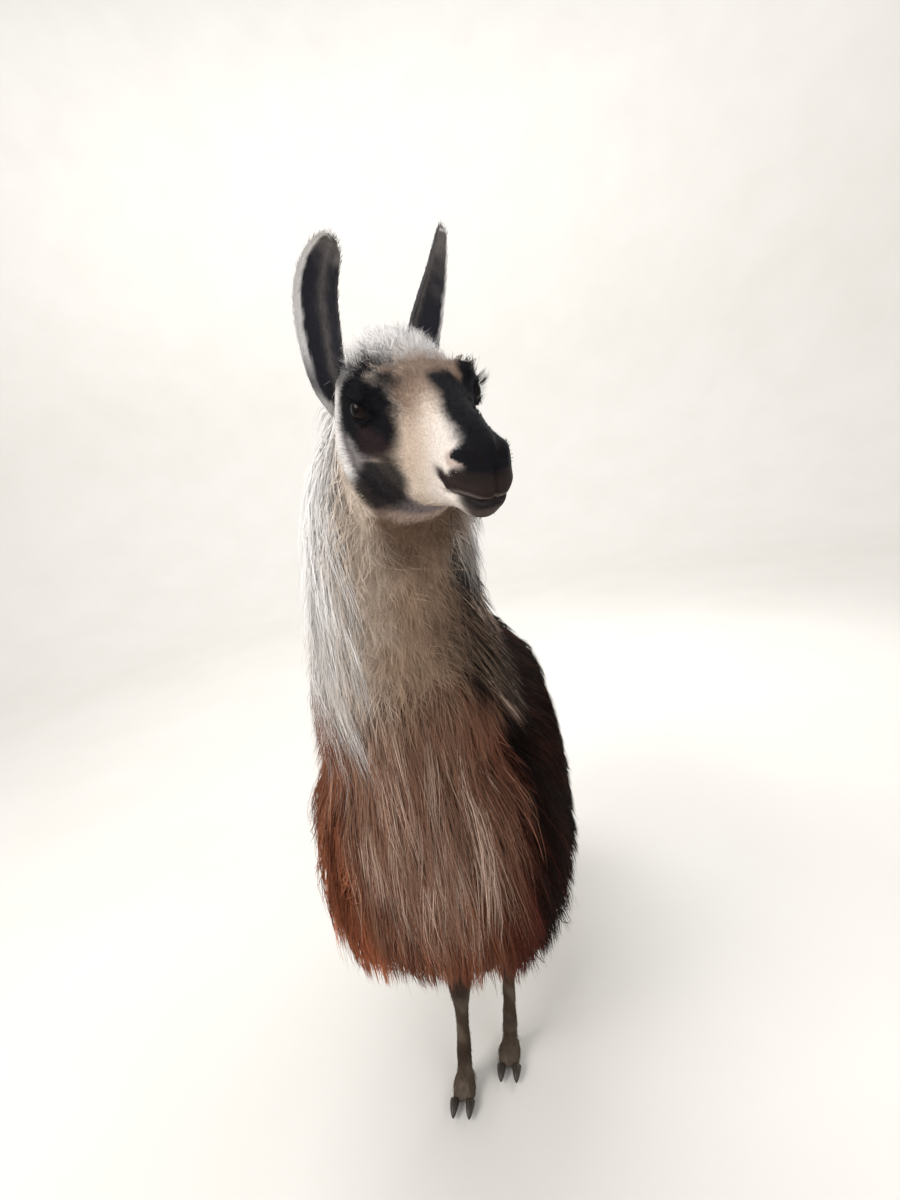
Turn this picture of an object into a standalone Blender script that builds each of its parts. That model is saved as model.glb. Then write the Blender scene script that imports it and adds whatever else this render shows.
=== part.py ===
"""A life-size model of a standing llama, in metres, +Z up.

The animal faces -Y and its left side is at +X. It stands square on four two-toed feet, its neck leans
to its own left and its head is turned that way and held slightly down. The solids follow the outside of
the coat. Neck, trunk and legs are lofted, joined into one body and parted again by thin flat cuts.
"""

import bmesh
import bpy
import numpy as np
from mathutils import Matrix, Vector

# ---- Driving dimensions, in metres. Heights are above the floor, y is measured from between the forefeet.
GAP = 0.0003  # clearance between neighbouring solids
BODY_VOXEL = 0.011  # grid on which the lofts are joined
SOFTEN_ROUNDS = 4
SHARP_ANGLE = 50.0  # degrees above which an edge is shaded sharp
BODY_TRIANGLES = 3900  # of the whole joined body, where trunk, neck and legs are taken from it
HEAD_TRIANGLES = 7600  # of the same body, where the head is taken from it
LOFT_SIDES = 32  # points round the lofts of the body
TAIL_SIDES = 16
NAIL_SIDES = 10
EAR_SIDES = 16
BODY_RINGS = 40  # rings along each loft of the body
TAIL_RINGS = 13
EAR_RINGS = 14
BALL_SIDES = (14, 9)  # points round and from pole to pole of an ellipsoid

EYE_MIDDLE = Vector((0.203, -0.390, 1.566))  # the point midway between the eyes
HEAD_YAW = 33.0  # degrees that the head is turned to the animal's left
HEAD_PITCH = 29.0  # degrees that the nose points below level
HEAD_ROLL = 3.0  # degrees that the left eye is raised
EYE_RADIUS = 0.0165
EYE_AHEAD = 0.004
EYE_APART = 0.0635  # from the middle of the head to the middle of an eye
EYE_UP = 0.002

NECK_CUT = ((0, -0.14, 1.060), (0, -0.50, 0.866))  # a point of each cut and its upward normal
NECK_MIDDLE_CUT = ((0.070, -0.225, 1.300), (0.28, -0.42, 0.86))
LEG_CUT = 0.442
SHANK_CUT = 0.300
FOOT_CUT = 0.082
FORELEG_RIGHT = (-0.066, -0.042)  # where each foot stands, x and y
FORELEG_LEFT = (0.044, 0.040)
HINDLEG_RIGHT = (-0.115, 0.715)
HINDLEG_LEFT = (0.115, 0.745)

# Trunk: y, height of the spine line, half width, reach up, reach down.
TRUNK = (
    (-0.266, 0.850, 0.060, 0.080, 0.110),
    (-0.248, 0.850, 0.146, 0.165, 0.262),
    (-0.188, 0.850, 0.212, 0.205, 0.356),
    (-0.060, 0.850, 0.266, 0.222, 0.392),
    (0.100, 0.850, 0.291, 0.238, 0.398),
    (0.300, 0.850, 0.287, 0.246, 0.388),
    (0.500, 0.850, 0.262, 0.250, 0.362),
    (0.660, 0.850, 0.230, 0.243, 0.318),
    (0.780, 0.850, 0.188, 0.218, 0.262),
    (0.850, 0.850, 0.120, 0.156, 0.170),
    (0.876, 0.850, 0.042, 0.070, 0.070),
)
TRUNK_FLARE = 0.11  # how much wider the hanging fleece is than the spine line
TRUNK_POWERS = (1.76, 4.8)  # above and below the spine line
# Neck: middle x, y, z, yaw in degrees, half width, reach forwards, reach back.
NECK = (
    (0.000, 0.030, 0.860, 0, 0.200, 0.200, 0.220),
    (0.008, -0.060, 1.010, 4, 0.204, 0.206, 0.230),
    (0.034, -0.145, 1.150, 12, 0.172, 0.165, 0.190),
    (0.072, -0.222, 1.300, 20, 0.145, 0.134, 0.140),
    (0.108, -0.272, 1.430, 28, 0.130, 0.120, 0.120),
    (0.128, -0.292, 1.520, 33, 0.112, 0.100, 0.108),
    (0.136, -0.302, 1.580, 33, 0.086, 0.074, 0.084),
    (0.140, -0.308, 1.618, 33, 0.050, 0.044, 0.050),
)
NECK_POWER = 2.2  # 2 gives an ellipse, more gives a squarer section
# Head, in its own frame: way ahead of the eyes, reach up, reach down, half width.
HEAD = (
    (-0.140, 0.010, 0.045, 0.035),
    (-0.122, 0.036, 0.098, 0.070),
    (-0.085, 0.052, 0.134, 0.084),
    (-0.035, 0.054, 0.144, 0.083),
    (0.015, 0.045, 0.132, 0.072),
    (0.060, 0.037, 0.112, 0.055),
    (0.100, 0.032, 0.092, 0.043),
    (0.138, 0.026, 0.076, 0.035),
    (0.166, 0.017, 0.066, 0.032),
    (0.185, 0.002, 0.057, 0.026),
    (0.196, -0.014, 0.045, 0.015),
)
HEAD_POWER = 2.3
# Soft forms joined to the head: the place ahead, left and up, then the half sizes across, along and up.
HEAD_MIDDLE_FORMS = (
    ((-0.078, 0.0, 0.030), (0.058, 0.050, 0.036)),  # fleece of the crown
    ((0.170, 0.0, -0.020), (0.029, 0.030, 0.032)),  # nose
    ((0.160, 0.0, -0.056), (0.028, 0.033, 0.020)),  # chin
)
HEAD_PAIRED_FORMS = (
    ((0.000, 0.054, 0.014), (0.030, 0.036, 0.026)),  # brow
    ((-0.045, 0.046, -0.064), (0.042, 0.066, 0.066)),  # cheek
    ((0.170, 0.015, -0.018), (0.022, 0.028, 0.032)),  # nostril side
)
THROAT = (-0.060, 0.0, -0.150)  # the cut between head and neck runs from nape to throat, then under the jaw
NAPE = (-0.150, 0.0, 0.065)
WEDGE_REACH = 0.6  # size of the block that clears the head's place from the neck
# Forelegs: height, shift forwards, half width, half depth.
FORELEG = (
    (0.030, 0.000, 0.027, 0.031),
    (0.070, 0.004, 0.025, 0.027),
    (0.110, 0.000, 0.027, 0.030),
    (0.160, 0.000, 0.0235, 0.026),
    (0.250, 0.000, 0.0245, 0.027),
    (0.310, 0.004, 0.033, 0.036),
    (0.370, -0.002, 0.037, 0.044),
    (0.440, -0.010, 0.046, 0.062),
    (0.600, -0.010, 0.090, 0.120),
)
# Hind legs: height, shift forwards, half width, half depth.
HINDLEG = (
    (0.030, 0.000, 0.027, 0.031),
    (0.070, 0.000, 0.025, 0.027),
    (0.110, -0.008, 0.027, 0.030),
    (0.190, -0.022, 0.0240, 0.027),
    (0.320, -0.042, 0.0265, 0.031),
    (0.400, -0.054, 0.0350, 0.045),
    (0.460, -0.044, 0.046, 0.064),
    (0.540, -0.010, 0.070, 0.102),
    (0.640, 0.022, 0.087, 0.142),
    (0.760, 0.040, 0.089, 0.150),
    (0.880, 0.050, 0.060, 0.090),
    (0.930, 0.050, 0.030, 0.040),
)
FORELEG_LEAN = 0.13  # how far the forelegs lean to the animal's left for each metre of height
HINDLEG_SPREAD = 0.07  # how far the hind legs lean outwards for each metre of height
LEG_POWER = 2.1

TOE_APART = 0.0195
TOE_HALF = (0.0175, 0.048, 0.026)  # half width, half length, height
TOE_AHEAD = 0.022
TOE_SINK = 0.55  # height of a toe's middle as a share of its half height
NAIL_LENGTH = 0.034
NAIL_RADIUS = 0.0130
NAIL_TIP = 0.3  # the tip's radius as a share of the root's
NAIL_TURN = 97.0  # degrees from upright, so that the nail points ahead and a little down
NAIL_ROOT = 0.88  # where the nail's middle is, as a share of the toe's half length
NAIL_CLEAR = 0.0006  # from the floor to the nail

# Tail: y, z, half width, half depth.
TAIL = (
    (0.790, 1.010, 0.036, 0.036),
    (0.850, 1.010, 0.050, 0.044),
    (0.894, 0.960, 0.062, 0.050),
    (0.912, 0.885, 0.067, 0.050),
    (0.914, 0.800, 0.060, 0.044),
    (0.908, 0.730, 0.041, 0.030),
    (0.904, 0.690, 0.012, 0.010),
)
# Ears, in the head's frame: ahead, outwards, up, half width, then the cup's turn outwards in degrees.
EAR_RIGHT = (
    (-0.088, 0.067, -0.020, 0.017, 12),
    (-0.100, 0.077, 0.014, 0.025, 14),
    (-0.118, 0.0765, 0.058, 0.0280, 14),
    (-0.128, 0.0715, 0.098, 0.0275, 12),
    (-0.132, 0.0610, 0.126, 0.0235, 8),
    (-0.134, 0.0480, 0.145, 0.0170, 4),
    (-0.134, 0.0400, 0.154, 0.0070, 2),
)
EAR_LEFT = (
    (-0.094, 0.046, 0.012, 0.031, 38),
    (-0.104, 0.053, 0.040, 0.0350, 38),
    (-0.114, 0.067, 0.072, 0.0315, 36),
    (-0.124, 0.080, 0.106, 0.0235, 34),
    (-0.130, 0.089, 0.132, 0.0155, 30),
    (-0.136, 0.096, 0.150, 0.0100, 26),
    (-0.138, 0.099, 0.158, 0.0045, 24),
)
EAR_CUP = 0.016  # depth of the ear's hollow
EAR_WALL = 0.0055
EAR_LEVEL = 0.45  # how far in from the rims the hollow starts, as a share of the half width squared

FLEECE_BROWN = (0.16, 0.07, 0.04)
FLEECE_WHITE = (0.62, 0.57, 0.52)
SHANK_GREY = (0.20, 0.16, 0.14)
EAR_BLACK = (0.05, 0.045, 0.05)
NAIL_HORN = (0.05, 0.04, 0.035)
EYE_DARK = (0.012, 0.008, 0.006)


# ---- Small tools
def material(name, colour, roughness):
    made = bpy.data.materials.new(name)
    made.use_nodes = True
    shader = made.node_tree.nodes["Principled BSDF"]
    shader.inputs["Base Color"].default_value = (*colour, 1.0)
    shader.inputs["Roughness"].default_value = roughness
    return made


def through(rows, count):
    """Rows made into count rows on a Catmull-Rom curve through them."""
    rows = np.array(rows, float)
    ends = np.vstack([2 * rows[0] - rows[1], rows, 2 * rows[-1] - rows[-2]])
    at = np.linspace(0, len(rows) - 1, count)
    span = np.minimum(at.astype(int), len(rows) - 2)
    t = (at - span)[:, None]
    a, b, c, d = (ends[span + i] for i in range(4))
    return 0.5 * (2 * b + (c - a) * t + (2 * a - 5 * b + 4 * c - d) * t**2 + (3 * b - a - 3 * c + d) * t**3)


def unit(vectors):
    return vectors / np.linalg.norm(vectors, axis=-1, keepdims=True)


def oval_rings(centre, side, lift, reaches, powers, flare=0.0, sides=LOFT_SIDES):
    """Superellipse rings, one for each centre, in the plane of side and lift.

    reaches holds the half width, the reach along lift and the reach against it of every ring. powers
    holds the squareness on the lift side and on the other. flare widens each ring against lift.
    """
    half_side, reach_up, reach_down = reaches
    turn = np.linspace(0, 2 * np.pi, sides, endpoint=False)
    c, s = np.cos(turn), np.sin(turn)
    bend = 2 / np.where(s > 0, *powers)
    across = np.sign(c) * np.abs(c) ** bend
    along = np.sign(s) * np.abs(s) ** bend
    across = across * (1 - flare * along)
    reach = np.where(s > 0, reach_up[:, None], reach_down[:, None])
    x = (half_side[:, None] * across)[..., None]
    y = (reach * along)[..., None]
    return centre[:, None] + side[:, None] * x + lift[:, None] * y


def mesh_object(name, mesh, skin=None):
    made = bpy.data.objects.new(name, mesh)
    LLAMA.objects.link(made)
    if skin:
        made.data.materials.clear()
        made.data.materials.append(skin)
    return made


def loft_mesh(name, rings):
    """A closed mesh through rings of equal point count, with a cap at each end."""
    count, sides = rings.shape[:2]
    index = np.arange(count * sides).reshape(count, sides)
    a, b = index[:-1], index[1:]
    quads = np.stack([a, np.roll(a, -1, 1), np.roll(b, -1, 1), b], -1).reshape(-1, 4)
    faces = [*quads.tolist(), index[0][::-1].tolist(), index[-1].tolist()]
    mesh = bpy.data.meshes.new(name)
    mesh.from_pydata(rings.reshape(-1, 3).tolist(), [], faces)
    work = bmesh.new()
    work.from_mesh(mesh)
    bmesh.ops.recalc_face_normals(work, faces=work.faces)
    bmesh.ops.triangulate(work, faces=work.faces)
    work.to_mesh(mesh)
    work.free()
    return mesh


def joined(name, meshes):
    """One mesh holding all of these, still as separate shells."""
    work = bmesh.new()
    for part in meshes:
        work.from_mesh(part)
        bpy.data.meshes.remove(part)
    mesh = bpy.data.meshes.new(name)
    work.to_mesh(mesh)
    work.free()
    return mesh


def evaluated_mesh(obj):
    """The object's mesh with its modifiers applied, and the object removed."""
    graph = bpy.context.evaluated_depsgraph_get()
    made = bpy.data.meshes.new_from_object(obj.evaluated_get(graph))
    bpy.data.objects.remove(obj)
    return made


def boolean_cut(mesh, cutter_mesh, name):
    """mesh less cutter_mesh, by the exact solver."""
    target = mesh_object(name, mesh)
    cutter = mesh_object(name + "_cutter", cutter_mesh)
    cut = target.modifiers.new("cut", "BOOLEAN")
    cut.operation = "DIFFERENCE"
    cut.object = cutter
    made = evaluated_mesh(target)
    bpy.data.objects.remove(cutter)
    return made


def swollen(mesh, by):
    """A copy of the mesh grown outwards by a small distance."""
    made = mesh.copy()
    work = bmesh.new()
    work.from_mesh(made)
    work.normal_update()
    for vertex in work.verts:
        vertex.co += vertex.normal * by
    work.to_mesh(made)
    work.free()
    return made


def side_of(mesh, point, normal, name):
    """The closed part of the mesh that lies on the side of the plane that normal points to."""
    work = bmesh.new()
    work.from_mesh(mesh)
    every = work.verts[:] + work.edges[:] + work.faces[:]
    bmesh.ops.bisect_plane(work, geom=every, plane_co=point, plane_no=normal, clear_inner=True)
    rim = [edge for edge in work.edges if edge.is_boundary]
    bmesh.ops.holes_fill(work, edges=rim, sides=0)
    bmesh.ops.triangulate(work, faces=[face for face in work.faces if len(face.verts) > 4])
    bmesh.ops.recalc_face_normals(work, faces=work.faces)
    made = bpy.data.meshes.new(name)
    work.to_mesh(made)
    work.free()
    return made


def parted(mesh, point, normal, names):
    """The mesh in two, either side of a thin flat cut: first the side that normal points to."""
    point, normal = Vector(point), Vector(normal).normalized()
    ahead = side_of(mesh, point + normal * GAP / 2, normal, names[0])
    behind = side_of(mesh, point - normal * GAP / 2, -normal, names[1])
    return ahead, behind


def islands(mesh):
    """Each connected piece of the mesh as its own mesh, the largest first."""
    work = bmesh.new()
    work.from_mesh(mesh)
    work.verts.index_update()
    left = set(work.verts)
    groups = []
    while left:
        seen = {left.pop()}
        edge = list(seen)
        while edge:
            vertex = edge.pop()
            near = {link.other_vert(vertex) for link in vertex.link_edges} - seen
            seen |= near
            edge += near
        left -= seen
        groups.append({vertex.index for vertex in seen})
    found = []
    for keep in sorted(groups, key=lambda group: (-len(group), min(group))):
        piece = work.copy()
        gone = [vertex for vertex in piece.verts if vertex.index not in keep]
        bmesh.ops.delete(piece, geom=gone, context="VERTS")
        made = bpy.data.meshes.new("piece")
        piece.to_mesh(made)
        piece.free()
        found.append(made)
    work.free()
    return found


# ---- The head's frame
def head_turn():
    """The head's rotation from looking along -Y to its turned, lowered and tilted place."""
    yaw = Matrix.Rotation(np.radians(HEAD_YAW), 3, "Z")
    pitch = Matrix.Rotation(np.radians(HEAD_PITCH), 3, "X")
    return yaw @ pitch @ Matrix.Rotation(np.radians(-HEAD_ROLL), 3, "Y")


def head_frame():
    """Unit vectors forwards along the nose, to the animal's left, and up, for the turned head."""
    turn = head_turn()
    return turn @ Vector((0, -1, 0)), turn @ Vector((1, 0, 0)), turn @ Vector((0, 0, 1))


def in_head(ahead, left, up):
    """A point given in the head's frame, as a point of the model."""
    nose, side, crown = head_frame()
    return EYE_MIDDLE + nose * ahead + side * left + crown * up


# ---- The joined body
def trunk_mesh():
    y, z, half, up, down = through(TRUNK, BODY_RINGS).T
    centre = np.stack([0 * y, y, z], 1)
    side = np.tile([1.0, 0, 0], (BODY_RINGS, 1))
    lift = np.tile([0, 0, 1.0], (BODY_RINGS, 1))
    rings = oval_rings(centre, side, lift, (half, up, down), TRUNK_POWERS, TRUNK_FLARE)
    return loft_mesh("trunk_loft", rings)


def neck_mesh():
    x, y, z, yaw, half, ahead, back = through(NECK, BODY_RINGS).T
    centre = np.stack([x, y, z], 1)
    along = unit(np.gradient(centre, axis=0))
    side = np.stack([np.cos(np.radians(yaw)), np.sin(np.radians(yaw)), 0 * yaw], 1)
    side = unit(side - along * (side * along).sum(1, keepdims=True))
    front = np.cross(side, along)
    return loft_mesh("neck_loft", oval_rings(centre, side, front, (half, ahead, back), (NECK_POWER,) * 2))


def head_mesh():
    nose, side, crown = (np.array(v) for v in head_frame())
    ahead, up, down, half = through(HEAD, BODY_RINGS).T
    middle = (up - down) / 2
    reach = (up + down) / 2
    centre = np.array(EYE_MIDDLE) + ahead[:, None] * nose + middle[:, None] * crown
    side = np.tile(side, (BODY_RINGS, 1))
    crown = np.tile(crown, (BODY_RINGS, 1))
    return loft_mesh("head_loft", oval_rings(centre, side, crown, (half, reach, reach), (HEAD_POWER,) * 2))


def leg_mesh(stations, foot, lean):
    z, ahead, half, depth = through(stations, BODY_RINGS).T
    centre = np.stack([foot[0] + lean * z, foot[1] - ahead, z], 1)
    side = np.tile([1.0, 0, 0], (BODY_RINGS, 1))
    front = np.tile([0, -1.0, 0], (BODY_RINGS, 1))
    return loft_mesh("leg_loft", oval_rings(centre, side, front, (half, depth, depth), (LEG_POWER,) * 2))


def ball_mesh(name, centre, half, turn=None):
    """An ellipsoid with these half sizes."""
    work = bmesh.new()
    bmesh.ops.create_uvsphere(work, u_segments=BALL_SIDES[0], v_segments=BALL_SIDES[1], radius=1.0)
    place = Matrix.Translation(centre) @ (turn or Matrix.Identity(4)) @ Matrix.Diagonal((*half, 1.0))
    bmesh.ops.transform(work, matrix=place, verts=work.verts)
    made = bpy.data.meshes.new(name)
    work.to_mesh(made)
    work.free()
    return made


def toe_meshes(foot):
    """The two padded toes of one foot, side by side."""
    made = []
    for way in (-1, 1):
        middle = (foot[0] + way * TOE_APART, foot[1] - TOE_AHEAD, TOE_HALF[2] * TOE_SINK)
        made.append(ball_mesh("toe_form", middle, TOE_HALF))
    return made


def head_forms():
    """Crown fleece, brows, cheeks, nose and chin, as ellipsoids in the head's frame."""
    forms = list(HEAD_MIDDLE_FORMS)
    for (ahead, left, up), half in HEAD_PAIRED_FORMS:
        forms += [((ahead, left, up), half), ((ahead, -left, up), half)]
    turn = head_turn().to_4x4()
    return [ball_mesh("head_form", in_head(*place), half, turn) for place, half in forms]


def joined_body():
    """Trunk, neck, head and legs joined on a fine grid and softened."""
    feet = (FORELEG_RIGHT, FORELEG_LEFT, HINDLEG_RIGHT, HINDLEG_LEFT)
    lofts = [trunk_mesh(), neck_mesh(), head_mesh(), *head_forms()]
    for number, foot in enumerate(feet):
        if number < 2:
            lofts.append(leg_mesh(FORELEG, foot, FORELEG_LEAN))
        else:
            lofts.append(leg_mesh(HINDLEG, foot, HINDLEG_SPREAD * np.sign(foot[0])))
        lofts += toe_meshes(foot)
    body = mesh_object("body_form", joined("body_form", lofts))
    join = body.modifiers.new("join", "REMESH")
    join.mode = "VOXEL"
    join.voxel_size = BODY_VOXEL
    soften = body.modifiers.new("soften", "SMOOTH")
    soften.factor = 0.5
    soften.iterations = SOFTEN_ROUNDS
    return evaluated_mesh(body)


def thinned(mesh, triangles):
    """A copy of the joined body with about this many triangles, cut off level at the floor."""
    count = sum(len(face.vertices) - 2 for face in mesh.polygons)
    body = mesh_object("body_form", mesh.copy())
    thin = body.modifiers.new("thin", "DECIMATE")
    thin.ratio = triangles / count
    thin.use_collapse_triangulate = True
    return side_of(evaluated_mesh(body), Vector((0, 0, 0)), Vector((0, 0, 1)), "body")


# ---- Pieces
def finish(name, mesh, skin):
    """Names the mesh, shades it smooth and shows it as a part of the model."""
    mesh.name = name
    made = mesh_object(name, mesh, skin)
    made.data.shade_smooth()
    made.data.set_sharp_from_angle(angle=np.radians(SHARP_ANGLE))
    return made


def ear_mesh(stations, way):
    """A long ear curved inwards like a banana, hollowed on its front face."""
    nose, side, crown = (np.array(v) for v in head_frame())
    ahead, out, up, half, turn = through(stations, EAR_RINGS).T
    centre = ahead[:, None] * nose + (way * out)[:, None] * side + up[:, None] * crown
    centre += np.array(EYE_MIDDLE)
    along = unit(np.gradient(centre, axis=0))
    facing = np.radians(turn)
    front = np.cos(facing)[:, None] * nose + (way * np.sin(facing))[:, None] * side
    front = unit(front - along * (front * along).sum(1, keepdims=True))
    across = np.cross(front, along)
    around = np.linspace(0, 2 * np.pi, EAR_SIDES, endpoint=False)
    x = np.cos(around)
    rim = np.sqrt(half / half.max())[:, None]
    hollow = (EAR_CUP * (x**2 - EAR_LEVEL))[None] * rim
    wall = np.sin(around)[None] * EAR_WALL * rim
    depth = (hollow + wall)[..., None]
    rings = centre[:, None] + across[:, None] * (half[:, None] * x)[..., None] + front[:, None] * depth
    return loft_mesh("ear", rings)


def nail_mesh(foot, way):
    """A blunt pointed toenail, tapering forwards and down from the toe."""
    work = bmesh.new()
    bmesh.ops.create_cone(
        work,
        cap_ends=True,
        segments=NAIL_SIDES,
        radius1=NAIL_RADIUS,
        radius2=NAIL_RADIUS * NAIL_TIP,
        depth=NAIL_LENGTH,
    )
    reach = TOE_AHEAD + TOE_HALF[1] * NAIL_ROOT
    place = Matrix.Translation((foot[0] + way * TOE_APART, foot[1] - reach, NAIL_RADIUS))
    turn = Matrix.Rotation(np.radians(NAIL_TURN), 4, "X")
    bmesh.ops.transform(work, matrix=place @ turn, verts=work.verts)
    made = bpy.data.meshes.new("nail")
    work.to_mesh(made)
    work.free()
    return side_of(made, Vector((0, 0, NAIL_CLEAR)), Vector((0, 0, 1)), "nail")


def tail_mesh():
    y, z, half, depth = through(TAIL, TAIL_RINGS).T
    centre = np.stack([0 * y, y, z], 1)
    along = unit(np.gradient(centre, axis=0))
    side = np.tile([1.0, 0, 0], (TAIL_RINGS, 1))
    back = np.cross(along, side)
    rings = oval_rings(centre, side, back, (half, depth, depth), (NECK_POWER,) * 2, sides=TAIL_SIDES)
    return loft_mesh("tail", rings)


def build_eyes(head, glass):
    """Sets both eyeballs in sockets cut to fit them."""
    for way, name in ((-1, "eye_right"), (1, "eye_left")):
        place = in_head(EYE_AHEAD, way * EYE_APART, EYE_UP)
        socket = ball_mesh("socket", place, (EYE_RADIUS + GAP,) * 3)
        head = boolean_cut(head, socket, "head")
        finish(name, ball_mesh(name, place, (EYE_RADIUS,) * 3), glass)
    return head


def leg_pair(pair, right, left, lean):
    """Two legs parted by a plane that stands midway between them and leans with them."""
    apart = Vector((left[0] - right[0], left[1] - right[1], 0))
    apart.z = -lean * apart.x
    middle = Vector((left[0] + right[0], left[1] + right[1], 0)) / 2
    left_leg, right_leg = parted(pair, middle, apart, ("left", "right"))
    return right_leg, left_leg


def build_legs(lower, wool, bare, horn):
    """Parts what hangs below the trunk into four legs, and each into leg, shank and foot with two nails."""
    between = (0, (FORELEG_LEFT[1] + HINDLEG_RIGHT[1]) / 2, 0)
    hind, fore = parted(lower, between, (0, 1, 0), ("hind", "fore"))
    fore_right, fore_left = leg_pair(fore, FORELEG_RIGHT, FORELEG_LEFT, FORELEG_LEAN)
    hind_right, hind_left = leg_pair(hind, HINDLEG_RIGHT, HINDLEG_LEFT, 0)
    legs = (
        ("fore_right", fore_right, FORELEG_RIGHT),
        ("fore_left", fore_left, FORELEG_LEFT),
        ("hind_right", hind_right, HINDLEG_RIGHT),
        ("hind_left", hind_left, HINDLEG_LEFT),
    )
    for name, whole, stand in legs:
        leg, rest = parted(whole, (0, 0, SHANK_CUT), (0, 0, 1), ("leg", "rest"))
        shank, foot = parted(rest, (0, 0, FOOT_CUT), (0, 0, 1), ("shank", "foot"))
        finish("leg_" + name, islands(leg)[0], wool)
        finish("shank_" + name, shank, bare)
        for way, side in ((-1, "right"), (1, "left")):
            nail = islands(boolean_cut(nail_mesh(stand, way), swollen(foot, GAP), "nail"))[0]
            finish(f"nail_{name}_{side}", nail, horn)
        finish("foot_" + name, foot, bare)


def head_and_neck(fine, upper):
    """Head and upper neck, parted by a cut from nape to throat and then forwards under the jaw."""
    throat = in_head(*THROAT)
    nose, side, crown = head_frame()
    nape_way = (in_head(*NAPE) - throat).normalized()
    ahead = side.cross(nape_way)
    head = parted(fine, *NECK_MIDDLE_CUT, ("head", "rest"))[0]
    head = parted(head, throat, ahead, ("head", "rest"))[0]
    head = parted(head, throat, crown, ("head", "rest"))[0]
    corner = throat - (ahead + crown) * GAP / 2
    wedge = bmesh.new()
    bmesh.ops.create_cube(wedge, size=1.0)
    bmesh.ops.translate(wedge, verts=wedge.verts, vec=(0.5, 0.0, 0.5))
    skew = Matrix((nose, side, nape_way)).transposed() * WEDGE_REACH
    bmesh.ops.transform(wedge, matrix=Matrix.Translation(corner) @ skew.to_4x4(), verts=wedge.verts)
    bmesh.ops.recalc_face_normals(wedge, faces=wedge.faces)
    bmesh.ops.triangulate(wedge, faces=wedge.faces)
    block = bpy.data.meshes.new("wedge")
    wedge.to_mesh(block)
    wedge.free()
    return head, boolean_cut(upper, block, "neck_upper")


def build_llama():
    brown = material("fleece_brown", FLEECE_BROWN, 0.9)
    white = material("fleece_white", FLEECE_WHITE, 0.9)
    grey = material("shank_grey", SHANK_GREY, 0.85)
    black = material("ear_black", EAR_BLACK, 0.9)
    horn = material("nail_horn", NAIL_HORN, 0.45)
    glass = material("eye_dark", EYE_DARK, 0.06)

    body = joined_body()
    plain = thinned(body, BODY_TRIANGLES)
    fine = thinned(body, HEAD_TRIANGLES)
    neck, trunk = parted(plain, *NECK_CUT, ("neck", "trunk"))
    upper, lower = parted(neck, *NECK_MIDDLE_CUT, ("neck_upper", "neck_lower"))
    head, upper = head_and_neck(fine, upper)
    head = build_eyes(head, glass)
    for way, name, stations in ((-1, "ear_right", EAR_RIGHT), (1, "ear_left", EAR_LEFT)):
        ear = boolean_cut(ear_mesh(stations, way), swollen(fine, GAP), name)
        ear = boolean_cut(ear, swollen(plain, GAP), name)
        finish(name, islands(ear)[0], black)
    finish("head", head, white)
    finish("neck_upper", upper, white)
    finish("neck_lower", lower, white)

    trunk, legs = parted(trunk, (0, 0, LEG_CUT), (0, 0, 1), ("trunk", "legs"))
    tail = islands(boolean_cut(tail_mesh(), swollen(trunk, GAP), "tail"))[0]
    finish("tail", tail, brown)
    finish("trunk", trunk, brown)
    build_legs(legs, brown, grey, horn)


def centre_on_origin():
    """Moves every node so that the middle of the llama's base is the origin."""
    points = np.array([vertex.co for made in LLAMA.objects for vertex in made.data.vertices])
    low, high = points.min(0), points.max(0)
    shift = Vector((-(low[0] + high[0]) / 2, -(low[1] + high[1]) / 2, -low[2]))
    for made in LLAMA.objects:
        made.data.transform(Matrix.Translation(shift))


for old in list(bpy.data.objects):
    bpy.data.objects.remove(old)
LLAMA = bpy.data.collections.new("llama")
bpy.context.scene.collection.children.link(LLAMA)
build_llama()
centre_on_origin()
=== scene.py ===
"""The looks of a life-size standing llama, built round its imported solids.

One skin lies inside the solids of flesh by the depth of the coat. Tufts of wool and hair grow from it,
follow the lie of the coat and end at the solids' surface. Skin and coat take their colours from the same
markings. Everything is in metres, in the frame of the solids: the llama faces -Y, its left is +X.
"""

from types import SimpleNamespace

import bmesh
import bpy
import numpy as np
from mathutils import Matrix, Vector


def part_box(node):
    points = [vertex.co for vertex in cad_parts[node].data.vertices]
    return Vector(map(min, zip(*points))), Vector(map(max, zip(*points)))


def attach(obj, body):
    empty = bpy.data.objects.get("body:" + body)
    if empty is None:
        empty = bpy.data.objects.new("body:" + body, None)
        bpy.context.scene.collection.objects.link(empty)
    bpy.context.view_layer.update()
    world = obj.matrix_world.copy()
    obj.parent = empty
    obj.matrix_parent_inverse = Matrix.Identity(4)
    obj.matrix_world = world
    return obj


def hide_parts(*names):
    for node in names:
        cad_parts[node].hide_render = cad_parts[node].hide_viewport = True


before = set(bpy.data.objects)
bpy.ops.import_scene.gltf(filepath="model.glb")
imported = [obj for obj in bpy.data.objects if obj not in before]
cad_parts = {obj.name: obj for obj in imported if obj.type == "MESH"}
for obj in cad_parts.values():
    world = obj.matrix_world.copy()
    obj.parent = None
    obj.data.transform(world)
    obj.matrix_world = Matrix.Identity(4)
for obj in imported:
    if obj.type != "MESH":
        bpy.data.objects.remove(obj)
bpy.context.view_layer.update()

MERGE = 0.00002  # corners closer than this are one
HEAD_YAW = 33.0  # degrees that the head is turned to the animal's left
HEAD_PITCH = 29.0  # degrees that the nose points below level
HEAD_ROLL = 3.0  # degrees that the left eye is raised
SKIN_VOXEL = 0.0095  # grid of the skin under the wool
HEAD_CUTS = 3  # each edge of the head's skin is cut this often for its fine forms
SMOOTH_FIRST, SMOOTH_LAST = 6, 3  # rounds of smoothing before and after the skin is drawn in


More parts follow.
